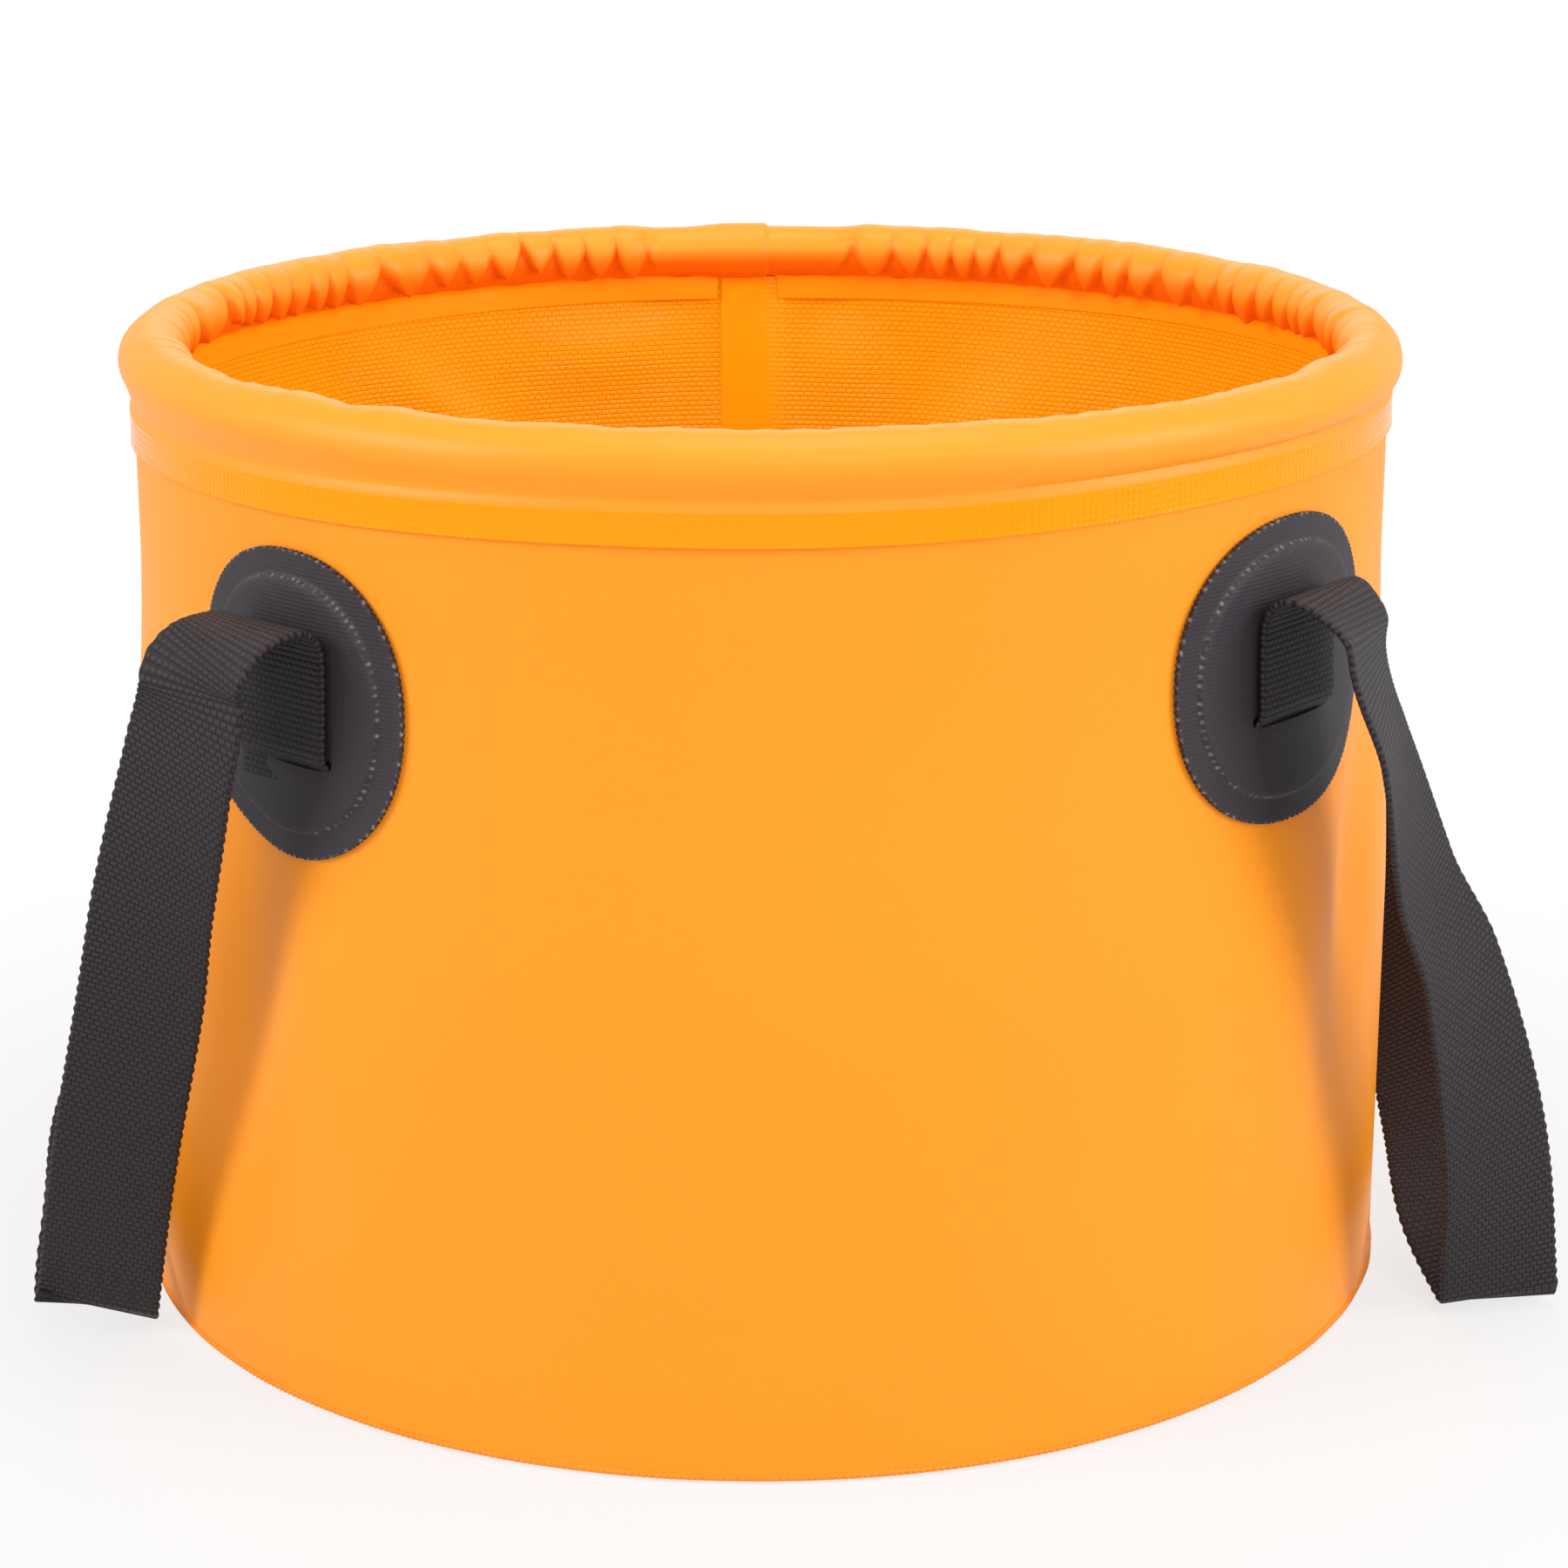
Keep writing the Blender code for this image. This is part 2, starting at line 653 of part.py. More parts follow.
def handle_strap_stations(arch_shares, front_shares, fold_shares, rear_shares):
    """Stations of the webbing that swings, from the front arch's end to the rear arch's end."""
    front_end, front_turn = route_point(arch_shares[-1])
    front_end.z -= SEAT_GAP / 2
    rear_end = Vector((front_end.x, -front_end.y, front_end.z))
    fold = route_point(fold_shares)
    front_knots = [(front_end, front_turn), *map(route_point, front_shares), fold]
    rear_knots = [fold, *map(route_point, rear_shares), (rear_end, -front_turn)]
    down = (fold[0] - front_knots[-2][0]).normalized()
    up = (rear_knots[1][0] - fold[0]).normalized()
    front = smooth_route(front_knots, Vector((0, 0, -1)), down)
    rear = smooth_route(rear_knots, up, Vector((0, 0, 1)))
    return rounded_fold(front, rear)


def webbing_mesh(name, stations, ends_along, tilt, place):
    """Webbing over the stations, its points moved to where they belong by the place function."""
    directed = []
    for centre, width_angle in stations:
        turn = math.radians(width_angle)
        lift = math.radians(tilt) * (1 - ease(centre.z, 0, ARCH_HEIGHT / 2))
        directed.append((centre, Vector((math.cos(turn), math.sin(turn), math.sin(lift)))))
    rows = webbing_rows(directed, *ends_along)
    return make_mesh(name, [[place(point) for point in row] for row in rows], closed=False)


def add_handle(side, mirror, arch_shares, front_shares, fold_shares, rear_shares, tilt):
    """One handle: a root at its front and rear patch, and the webbing that swings between them.

    Its hinge runs front to back, just outside the ends of the roots.
    """
    plumb = Vector((0, 0, -1))
    root = strap_root_stations(arch_shares)
    for place, flip in (("front", 1), ("rear", -1)):
        name = "strap_root_" + side + "_" + place
        mesh = webbing_mesh(
            name, root, (-plumb, plumb), 0, lambda point: Vector((point.x * mirror, point.y * flip, point.z))
        )
        add_object(name, mesh, BLACK_WEBBING)

    end, end_turn = route_point(arch_shares[-1])
    turn = math.radians(end_turn)
    reach = WEBBING_WIDTH / 2 * math.cos(turn) + WEBBING_THICKNESS / 2 * math.sin(turn) + HINGE_CLEARANCE
    hinge = Vector(((end.x + reach) * mirror, 0, end.z - SEAT_GAP / 2))
    axis = add_axis(side + "_handle_axis", hinge)
    name = "handle_strap_" + side
    stations = handle_strap_stations(arch_shares, front_shares, fold_shares, rear_shares)
    mesh = webbing_mesh(
        name, stations, (plumb, -plumb), tilt,
        lambda point: Vector((point.x * mirror, point.y, point.z)) - hinge,
    )
    add_object(name, mesh, BLACK_WEBBING, axis)


def build():
    """Make every piece of the bucket."""
    for item in list(bpy.data.objects):
        bpy.data.objects.remove(item)

    base_axis = add_axis("collapse_axis", (0, 0, 0))
    add_object("base_disc", base_disc_mesh(), ORANGE_CLOTH, base_axis)
    add_object("wall_panel", wall_panel_mesh(), ORANGE_CLOTH, base_axis)
    add_object("rim_sleeve", rim_sleeve_mesh(), ORANGE_CLOTH)
    add_object("rim_hose", rim_hose_mesh(), GREY_PLASTIC)
    add_object("hose_joiner", hose_joiner_mesh(), WHITE_PLASTIC)

    places = {
        "right_front": PATCH_ANGLE,
        "right_rear": 180 - PATCH_ANGLE,
        "left_rear": 180 + PATCH_ANGLE,
        "left_front": -PATCH_ANGLE,
    }
    for place, angle in places.items():
        add_object("patch_facing_" + place, patch_facing_mesh(), BLACK_CLOTH, turn=angle)
        add_object("patch_backing_" + place, patch_backing_mesh(), BLACK_CLOTH, turn=angle)

    add_handle(
        "right", 1, RIGHT_ARCH_SHARES, RIGHT_FRONT_SHARES, RIGHT_FOLD_SHARES, RIGHT_REAR_SHARES, 0
    )
    add_handle(
        "left", -1, LEFT_ARCH_SHARES, LEFT_FRONT_SHARES, LEFT_FOLD_SHARES, LEFT_REAR_SHARES, LEFT_FOLD_TILT
    )


build()
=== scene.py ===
# %% [markdown]
# # A collapsible camp bucket
#
# This bucket is welded from orange tarpaulin: a knitted mesh coated with soft plastic. A stiff
# hose in a gathered sleeve holds its mouth open, and two lengths of black webbing are its
# handles. The CAD model gives the places and sizes. The cells below dress it: each soft piece
# is worked out again as a fine grid of points, and each surface gets a finish built from
# nodes, so that the weave, the welds and the gloss are at their real scale.

# %% Load the CAD model
import math

import bpy
import numpy as np
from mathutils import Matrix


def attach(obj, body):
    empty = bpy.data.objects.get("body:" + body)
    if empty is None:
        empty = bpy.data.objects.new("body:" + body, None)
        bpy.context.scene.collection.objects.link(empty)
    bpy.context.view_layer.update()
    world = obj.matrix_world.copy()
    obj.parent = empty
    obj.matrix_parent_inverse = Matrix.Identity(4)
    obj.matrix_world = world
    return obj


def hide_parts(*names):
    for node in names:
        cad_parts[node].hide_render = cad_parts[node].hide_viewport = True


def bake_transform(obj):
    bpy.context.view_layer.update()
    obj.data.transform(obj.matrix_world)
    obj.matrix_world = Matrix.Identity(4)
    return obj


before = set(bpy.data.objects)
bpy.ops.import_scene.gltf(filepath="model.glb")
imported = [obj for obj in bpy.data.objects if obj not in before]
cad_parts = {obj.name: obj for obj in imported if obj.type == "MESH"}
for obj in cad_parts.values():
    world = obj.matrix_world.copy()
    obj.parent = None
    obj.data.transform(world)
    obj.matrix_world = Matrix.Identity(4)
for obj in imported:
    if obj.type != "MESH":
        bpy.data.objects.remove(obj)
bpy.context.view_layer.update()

# %% [markdown]
# ## Where we look from
#
# The camera stands where the photographer stood. Its place was worked out from the ellipses of
# the rim and the foot. The bucket is turned four degrees to the view, so the camera is swung
# round by the same four degrees the other way.

# %% Camera
VIEW_TURN = math.radians(-4.0)
VIEW_SIDE = 0.0046
VIEW_BACK = -0.7787
VIEW_HEIGHT = 0.3237
VIEW_PITCH = math.radians(16.29)

camera_data = bpy.data.cameras.new("camera")
camera_data.sensor_width = 36
camera_data.lens = 88.74
camera_data.clip_start = 0.01
camera = bpy.data.objects.new("camera", camera_data)
camera.location = (
    VIEW_SIDE * math.cos(VIEW_TURN) - VIEW_BACK * math.sin(VIEW_TURN),
    VIEW_SIDE * math.sin(VIEW_TURN) + VIEW_BACK * math.cos(VIEW_TURN),
    VIEW_HEIGHT,
)
camera.rotation_euler = (math.pi / 2 - VIEW_PITCH, 0, VIEW_TURN)
bpy.context.scene.collection.objects.link(camera)
bpy.context.scene.camera = camera
print("camera at", [round(value, 4) for value in camera.location])

# %% [markdown]
# ## The studio
#
# A product shot of this kind has soft light from both sides and from above, and a white
# ground. The floor here is pale and takes the bucket's shadow. For the camera alone it glows a
# little, so that it reads as white without any more light on the bucket. Both are built from
# shader nodes, so two small helpers that make and join nodes come first, and with them the
# helper that starts every finish.

# %% Node helpers
def node(tree, kind, settings=None, **inputs):
    """A node with its settings, and its inputs set to a number or joined to an output."""
    made = tree.nodes.new("ShaderNode" + kind)
    for key, value in (settings or {}).items():
        setattr(made, key, value)
    for key, value in inputs.items():
        numbered = key[0] == "i" and key[1:].isdigit()
        socket = made.inputs[int(key[1:]) if numbered else key.replace("_", " ")]
        if isinstance(value, bpy.types.NodeSocket):
            tree.links.new(value, socket)
        else:
            socket.default_value = value
    return made


def calc(tree, operation, first, second=0.0, third=0.5, clamp=False):
    """One sum on numbers or outputs."""
    settings = {"operation": operation, "use_clamp": clamp}
    return node(tree, "Math", settings, i0=first, i1=second, i2=third).outputs[0]


def seen_directly(tree):
    """1 for rays that come from the camera, or from it by way of a gloss or a glass, and else 0."""
    path = node(tree, "LightPath").outputs
    share = calc(tree, "MAXIMUM", path["Is Camera Ray"], path["Is Glossy Ray"])
    return calc(tree, "MAXIMUM", share, path["Is Transmission Ray"])


def new_finish(
    name, colour, roughness, specular=0.5, coat=0.0, coat_roughness=0.2, sheen=0.0, painted_glow=None
):
    """A Principled material, its node tree and its shader.

    The last argument is painted light: the colour and strength of an emission that brightens the
    cloth and makes its shade redder.
    """
    material = bpy.data.materials.new(name)
    material.use_nodes = True
    shader = material.node_tree.nodes["Principled BSDF"]
    values = {
        "Base Color": (*colour, 1), "Roughness": roughness, "Specular IOR Level": specular,
        "Coat Weight": coat, "Coat Roughness": coat_roughness,
        "Sheen Weight": sheen, "Sheen Roughness": 0.4,
    }
    if painted_glow:
        values |= {"Emission Color": (*painted_glow[0], 1), "Emission Strength": painted_glow[1]}
    for socket, value in values.items():
        shader.inputs[socket].default_value = value
    return material, material.node_tree, shader


# %% Floor and backdrop
GLOW_FROM, GLOW_TO = 0.13, 0.32
floor_white, tree, shader = new_finish("studio_floor", (0.7, 0.7, 0.7), 0.9, specular=0.1)
where = node(tree, "TexCoord").outputs["Object"]
away = node(tree, "VectorMath", {"operation": "LENGTH"}, i0=where).outputs["Value"]
glow = node(
    tree, "MapRange", {"interpolation_type": "SMOOTHSTEP"},
    Value=away, From_Min=GLOW_FROM, From_Max=GLOW_TO, To_Min=0.75, To_Max=1.0,
).outputs[0]
share = calc(tree, "MULTIPLY", seen_directly(tree), glow)
white = node(tree, "Emission").outputs[0]
mix = node(tree, "MixShader", i0=share, i1=shader.outputs[0], i2=white)
tree.links.new(mix.outputs[0], tree.nodes["Material Output"].inputs["Surface"])

FLOOR_SIZE = 6.0
FLOOR_DROP = -0.0005
floor_mesh = bpy.data.meshes.new("floor")
half = FLOOR_SIZE / 2
corners = ((-half, -half), (half, -half), (half, half), (-half, half))
floor_mesh.from_pydata([(x, y, FLOOR_DROP) for x, y in corners], [], [(0, 1, 2, 3)])
floor_mesh.materials.append(floor_white)
floor = bpy.data.objects.new("studio_floor", floor_mesh)
bpy.context.scene.collection.objects.link(floor)

# %% Lights
world = bpy.data.worlds.new("studio_world")
bpy.context.scene.world = world
world.use_nodes = True
tree = world.node_tree
sky = tree.nodes["Background"]
sky.inputs["Color"].default_value = (1, 1, 1, 1)
sky.inputs["Strength"].default_value = 0.3
backdrop = node(tree, "Background", Color=(1, 1, 1, 1), Strength=1)
mix = node(
    tree, "MixShader", i0=seen_directly(tree), i1=sky.outputs[0], i2=backdrop.outputs[0]
)
tree.links.new(mix.outputs[0], tree.nodes["World Output"].inputs["Surface"])


def unit(vectors):
    """Vectors of the same directions and of length 1."""
    return vectors / np.linalg.norm(vectors, axis=-1, keepdims=True)


def softbox(name, place, aim, size, power):
    """A square area light at a place, turned to face a point."""
    data = bpy.data.lights.new(name, "AREA")
    data.shape = "SQUARE"
    data.size = size
    data.energy = power
    lamp = bpy.data.objects.new(name, data)
    bpy.context.scene.collection.objects.link(lamp)
    toward = unit(np.subtract(aim, place))
    lamp.location = place
    lamp.rotation_euler = (math.acos(-toward[2]), 0, math.atan2(toward[1], toward[0]) - math.pi / 2)
    return lamp


MIDDLE = (0, 0, 0.1)
softbox("left_softbox", (-1.12, -0.45, 0.7), MIDDLE, 0.6, 8.8)
softbox("right_softbox", (1.12, -0.55, 0.6), MIDDLE, 0.6, 8.4)
softbox("top_softbox", (0.1, -0.15, 1.4), MIDDLE, 0.8, 7.0)
softbox("front_softbox", (0.15, -1.6, 0.95), MIDDLE, 1.0, 7.4)
softbox("back_softbox", (0.1, 1.5, 0.9), MIDDLE, 0.9, 2.5)

# %% [markdown]
# ## Grids of points
#
# Every new piece is a grid. One direction runs along the piece and one across it, a numpy
# array holds the points, and the faces follow from the grid's numbering. Sheet goods need a
# thickness, so a grid usually closes on itself: out along one face of the sheet, round its
# edge and back along the other.

# %% Grid helpers
TURN = 2 * math.pi
RAW_EDGE = math.radians(55)


def ease(value, low, high):
    """0 below low, 1 above high, and 3s^2 - 2s^3 between them, where s is the share of the way."""
    share = np.clip((value - low) / (high - low), 0, 1)
    return share * share * (3 - 2 * share)


def around(radius, degrees, height):
    """Points (r sin a, -r cos a, z): angles run from the front, -Y, towards +X."""
    radius, angle, height = np.broadcast_arrays(radius, np.radians(degrees), height)
    return np.stack([radius * np.sin(angle), -radius * np.cos(angle), height], axis=-1)


def wander(degrees, low, high, seed):
    """Sum of cos(k a + p) times a random size, for whole k from low to high, so that it closes."""
    dice = np.random.default_rng(seed)
    waves = np.arange(low, high + 1)
    phases = dice.uniform(0, TURN, waves.size)
    sizes = dice.normal(0, 1, waves.size)
    angle = np.radians(np.asarray(degrees, float))[..., None]
    return (sizes * np.cos(waves * angle + phases)).sum(axis=-1) / math.sqrt(waves.size)


def distance(line):
    """How far each point of a line is from its start, along it."""
    return np.concatenate([[0], np.cumsum(np.linalg.norm(np.diff(line, axis=0), axis=1))])


def sheet_uv(along, up):
    """A UV array from distances along and up, each a number, a row or a column."""
    return np.stack(np.broadcast_arrays(along, up), axis=-1)


def closed(grid):
    """The grid with its first column again at its end."""
    return np.concatenate([grid, grid[:, :1]], axis=1)


def face_outwards(mesh):
    """Turn the faces outwards, if the volume under them, the sum of a.(b x c)/6, is negative."""
    mesh.calc_loop_triangles()
    corners = np.empty(len(mesh.loop_triangles) * 3, dtype=np.int32)
    mesh.loop_triangles.foreach_get("vertices", corners)
    points = np.empty(len(mesh.vertices) * 3, dtype=np.float32)
    mesh.vertices.foreach_get("co", points)
    a, b, c = points.reshape(-1, 3)[corners.reshape(-1, 3)].transpose(1, 0, 2).astype(float)
    if (a * np.cross(b, c)).sum() < 0:
        mesh.flip_normals()


def grid_piece(
    name, points, uv, finishes, wrap_rows=False, wrap_columns=False, caps=False, finish_of_row=None
):
    """A mesh over an array of points, rows by columns by 3, with a UV map in metres.

    Face (i, j) joins the points (i, j), (i, j+1), (i+1, j+1) and (i+1, j). A wrapped direction
    joins its last line to its first, and its UV array has one line more than the points.
    """
    rows, columns = points.shape[:2]
    i, j = np.meshgrid(
        np.arange(rows - 1 + wrap_rows), np.arange(columns - 1 + wrap_columns), indexing="ij"
    )
    after_i, after_j = (i + 1) % rows, (j + 1) % columns
    near, far = i * columns, after_i * columns
    quads = np.stack([near + j, near + after_j, far + after_j, far + j], axis=-1).reshape(-1, 4)
    corner_uv = np.stack([uv[i, j], uv[i, j + 1], uv[i + 1, j + 1], uv[i + 1, j]], axis=2)
    corner_uv = corner_uv.reshape(-1, 2)
    faces = quads.tolist()
    if caps:
        faces.append(list(range(columns))[::-1])
        faces.append(list(range((rows - 1) * columns, rows * columns)))
        corner_uv = np.concatenate([corner_uv, uv[0, :columns][::-1], uv[rows - 1, :columns]])
    mesh = bpy.data.meshes.new(name)
    mesh.from_pydata(points.reshape(-1, 3).tolist(), [], faces)
    layer = mesh.uv_layers.new(name="UVMap")
    layer.data.foreach_set("uv", corner_uv.astype(np.float32).ravel())
    for finish in finishes:
        mesh.materials.append(finish)
    if finish_of_row is not None:
        index = np.zeros(len(faces), dtype=np.int32)
        index[: quads.shape[0]] = np.repeat(finish_of_row[: i.shape[0]], i.shape[1])
        mesh.polygons.foreach_set("material_index", index)
    mesh.shade_smooth()
    mesh.set_sharp_from_angle(angle=RAW_EDGE)
    mesh.update()
    face_outwards(mesh)
    piece = bpy.data.objects.new(name, mesh)
    bpy.context.scene.collection.objects.link(piece)
    print(f"{name}: {points.shape[0]} x {points.shape[1]} points")
    return piece


def mark(piece, name, values):
    """Give each point of the piece a number that its finish can read."""
    layer = piece.data.attributes.new(name, "FLOAT", "POINT")
    layer.data.foreach_set("value", np.asarray(values, np.float32).ravel())


# %% [markdown]
# ## Finishes
#
# Each finish is a Principled shader with a pattern under it. A few small helpers add what the
# finishes share: a cloudy change of tone, waves and dots at a real scale, and a bump made from
# a height. Heights are in metres, so a bump of 0.0001 is a tenth of a millimetre deep.

# %% Finish helpers
def uv_millimetres(tree):
    """The UV map's two numbers, turned from metres to millimetres."""
    coordinates = node(tree, "UVMap", {"uv_map": "UVMap"}).outputs[0]
    split = node(tree, "SeparateXYZ", Vector=coordinates)
    return [calc(tree, "MULTIPLY", split.outputs[axis], 1000) for axis in (0, 1)]


def wave(tree, value, pitch, phase=0.0):
    """Half of 1 + cos(2 pi value / pitch + phase)."""
    turned = calc(tree, "MULTIPLY_ADD", value, TURN / pitch, phase)
    return calc(tree, "MULTIPLY_ADD", calc(tree, "COSINE", turned), 0.5, 0.5)


def dots(tree, wide, high):
    """Product of a wave along the UV map and one across it, with pitches in millimetres."""
    along, up = uv_millimetres(tree)
    return calc(tree, "MULTIPLY", wave(tree, along, wide), wave(tree, up, high))


def attribute(tree, name):
    """The number of that name, which the grid gives each point."""
    return node(tree, "Attribute", {"attribute_name": name}).outputs["Fac"]


def cloudy(tree, scale, detail=3.0):
    """Soft noise on the piece's own coordinates."""
    where = node(tree, "TexCoord").outputs["Object"]
    return node(tree, "TexNoise", Vector=where, Scale=scale, Detail=detail).outputs["Fac"]


def bump(tree, shader, height, depth):
    """Join a height from 0 to 1 to the shader as a bump of that depth in metres."""
    made = node(tree, "Bump", Strength=1.0, Distance=depth, Height=height)
    tree.links.new(made.outputs[0], shader.inputs["Normal"])
    return made


def tint(tree, shader, share, first, second):
    """Run the base colour from the first colour to the second as share goes from 0 to 1."""
    ramp = node(tree, "ValToRGB", Fac=share)
    ramp.color_ramp.elements[0].color = (*first, 1)
    ramp.color_ramp.elements[1].color = (*second, 1)
    tree.links.new(ramp.outputs[0], shader.inputs["Base Color"])
    return ramp


# %% [markdown]
# ### Orange tarpaulin
#
# Outside, the coating is thick: it is smooth and satin, and the mesh under it only just shows.
# Inside, the coating is thin, so the knit of the mesh stands out as rows of small bricks and takes
# a brighter gloss. Along a weld, a heated tool has pressed a pattern of dots into it. Both sides
# also glow with painted light, an emission: inside it brightens the cloth, and outside it makes the
# shade a deeper red.

# %% Orange finishes
ORANGE = (0.97, 0.335, 0.012)
ORANGE_DEEP = (0.95, 0.312, 0.010)
ORANGE_INSIDE = (0.98, 0.36, 0.004)
ORANGE_KNIT = (0.95, 0.315, 0.003)
# Painted light: the two glow colours below are emissions that brighten the inside and deepen the
# red of the shade outside.
PAINTED_GLOW_INSIDE = (1.0, 0.50, 0.0)
PAINTED_GLOW_OUTSIDE = (1.0, 0.17, 0.0)
MESH_LENGTH = 1.9
MESH_HEIGHT = 1.15
FINE_GRAIN = 1400.0

satin_orange, tree, shader = new_finish(
    "satin_orange", ORANGE, 0.5, specular=0.3, coat=0.02, coat_roughness=0.35,
    painted_glow=(PAINTED_GLOW_OUTSIDE, 0.12),
)
tint(tree, shader, cloudy(tree, 9.0), ORANGE_DEEP, ORANGE)
grain = calc(tree, "MULTIPLY", cloudy(tree, FINE_GRAIN, 2.0), 0.6)
mesh_ghost = calc(tree, "MULTIPLY", dots(tree, MESH_LENGTH / 2, MESH_HEIGHT), 0.25)
bump(tree, shader, calc(tree, "ADD", grain, mesh_ghost), 0.00003)

mesh_orange, tree, shader = new_finish(
    "mesh_orange", ORANGE_INSIDE, 0.28, specular=0.3, coat=0.2, coat_roughness=0.08,
    painted_glow=(PAINTED_GLOW_INSIDE, 0.16),
)
along, up = uv_millimetres(tree)
where = node(tree, "CombineXYZ", X=along, Y=up).outputs[0]
bricks = node(
    tree, "TexBrick", {"offset": 0.5}, Vector=where, Scale=1.0,
    Mortar_Size=0.34, Mortar_Smooth=1.0, Brick_Width=MESH_LENGTH, Row_Height=MESH_HEIGHT,
).outputs["Fac"]
knit = calc(tree, "SUBTRACT", 1.0, bricks)
smooth = attribute(tree, "smooth")
knit = calc(tree, "MULTIPLY", knit, calc(tree, "SUBTRACT", 1.0, smooth))
bare = calc(tree, "MULTIPLY", smooth, 0.6)
tint(tree, shader, calc(tree, "ADD", knit, bare, clamp=True), ORANGE_KNIT, ORANGE_INSIDE)
uneven = calc(tree, "MULTIPLY", cloudy(tree, 160.0, 3.0), 0.5)
knitted = bump(tree, shader, calc(tree, "ADD", knit, uneven), 0.00026)
tree.links.new(knitted.outputs[0], shader.inputs["Coat Normal"])

# %% [markdown]
# ### The sleeve's cloth and its weld bands
#
# The sleeve is the same cloth in three states. Over the hose it is satin. In its folds and on the
# hose's underside, a deeper red is painted in as shade, for the light that bounces from orange to
# orange there. The outer skirt was pressed by a heated tool, which left it smooth and full in
# colour, with rows of fine dots; at the front its colour is a little paler, a painted sheen. The
# inner skirt is pressed too. All three glow a little with painted light, an emission, the inner
# skirt as much as the inside. The numbers called fold and weld, which the grid gives each point,
# say where the painted shade and the pressed band are.

# %% Sleeve finishes
# Painted shade: the deeper red for the folds and the hose's underside.
ORANGE_PAINTED_SHADE = (0.87, 0.165, 0.002)
ORANGE_PRESSED = (1.0, 0.345, 0.001)
ORANGE_SKIRT = (0.97, 0.325, 0.004)
DOT_PITCH = 1.3
sleeve_orange, tree, shader = new_finish(
    "sleeve_orange", ORANGE, 0.48, specular=0.35, coat=0.05, coat_roughness=0.35,
    painted_glow=(PAINTED_GLOW_OUTSIDE, 0.08),
)
# Painted shade: the fold number turns the colour a deeper red where shade falls.
tint(tree, shader, attribute(tree, "fold"), ORANGE, ORANGE_PAINTED_SHADE)
bump(tree, shader, cloudy(tree, FINE_GRAIN, 2.0), 0.00002)

pressed_orange, tree, shader = new_finish(
    "pressed_orange", ORANGE_PRESSED, 0.3, specular=0.1, painted_glow=(PAINTED_GLOW_OUTSIDE, 0.03)
)
weld = attribute(tree, "weld")
tint(tree, shader, weld, ORANGE, ORANGE_PRESSED)
gloss = node(tree, "MapRange", Value=weld, To_Min=0.45, To_Max=0.12).outputs[0]
tree.links.new(gloss, shader.inputs["Roughness"])
bump(tree, shader, calc(tree, "MULTIPLY", dots(tree, DOT_PITCH, DOT_PITCH), weld), 0.00012)

# The inner skirt glows with the same painted light as the inside.
skirt_orange, tree, shader = new_finish(
    "skirt_orange", ORANGE_INSIDE, 0.42, specular=0.25, coat=0.1, coat_roughness=0.25,
    painted_glow=(PAINTED_GLOW_INSIDE, 0.12),
)
tint(tree, shader, cloudy(tree, 60.0), ORANGE_INSIDE, ORANGE_SKIRT)
bump(tree, shader, dots(tree, DOT_PITCH, DOT_PITCH), 0.00003)

# %% [markdown]
# ### Black patch cloth
#
# The patches are a lighter tarpaulin in black. A fine woven grain shows in it. Along the line where
# it is welded, and along its cut edge, small glints are painted into its colour as light specks,
# which sit at even angles round the patch's middle and show in patches.

# %% Patch finish
PATCH_BLACK = (0.034, 0.028, 0.034)
PATCH_GLINT_PAINT = (0.36, 0.34, 0.36)
PATCH_MIDDLE = 141.3     # height of the patches' middle, in millimetres as their UV map is
BEADS = 95
WEAVE_PITCH = 0.8
patch_black, tree, shader = new_finish("patch_black", PATCH_BLACK, 0.55, specular=0.28)
along, up = uv_millimetres(tree)
# The lines below paint glints: light specks at the bead places on the weld line and the cut edge,
# shown where a patchy noise lets them.
turned = calc(tree, "ARCTAN2", calc(tree, "SUBTRACT", up, PATCH_MIDDLE), along)
beads = calc(tree, "POWER", wave(tree, turned, TURN / BEADS), 2.0)
patchy = cloudy(tree, 700.0, 1.0)
uneven = node(tree, "MapRange", Value=patchy, From_Min=0.4, From_Max=0.62).outputs[0]
painted_glints = calc(tree, "MULTIPLY", beads, uneven)
line = attribute(tree, "weld")
tint(tree, shader, calc(tree, "MULTIPLY", painted_glints, line), PATCH_BLACK, PATCH_GLINT_PAINT)
grain = calc(tree, "MULTIPLY", cloudy(tree, 2400.0, 2.0), 0.8)
bump(tree, shader, calc(tree, "ADD", dots(tree, WEAVE_PITCH, WEAVE_PITCH), grain), 0.00006)

# %% [markdown]
# ### Black webbing
#
# Webbing is woven tight and flat. Fine warp yarns run along it and dip under a thick weft at
# each rib, and they do so by turns, which gives a pattern like bricks set on end.

# %% Webbing finish
WEBBING_BLACK = (0.034, 0.023, 0.028)
WEBBING_DEEP = (0.0015, 0.001, 0.0012)
RIB_PITCH = 0.0012
YARN_WIDTH = 1.6
webbing_black, tree, shader = new_finish(
    "webbing_black", WEBBING_BLACK, 0.55, specular=0.3, sheen=0.03
)
along, across = uv_millimetres(tree)
where = node(tree, "CombineXYZ", X=across, Y=along).outputs[0]
yarns = node(
    tree, "TexBrick", {"offset": 0.5}, Vector=where, Scale=1.0,
    Mortar_Size=0.24, Mortar_Smooth=0.8, Brick_Width=YARN_WIDTH, Row_Height=RIB_PITCH * 1000,
).outputs["Fac"]
ribs = calc(tree, "MULTIPLY_ADD", wave(tree, along, RIB_PITCH * 1000, math.pi), 0.7, 0.3)
between = calc(tree, "MULTIPLY", yarns, 0.95)
raised = calc(tree, "MULTIPLY", calc(tree, "SUBTRACT", 1.0, between), ribs)
tint(tree, shader, raised, WEBBING_DEEP, WEBBING_BLACK)
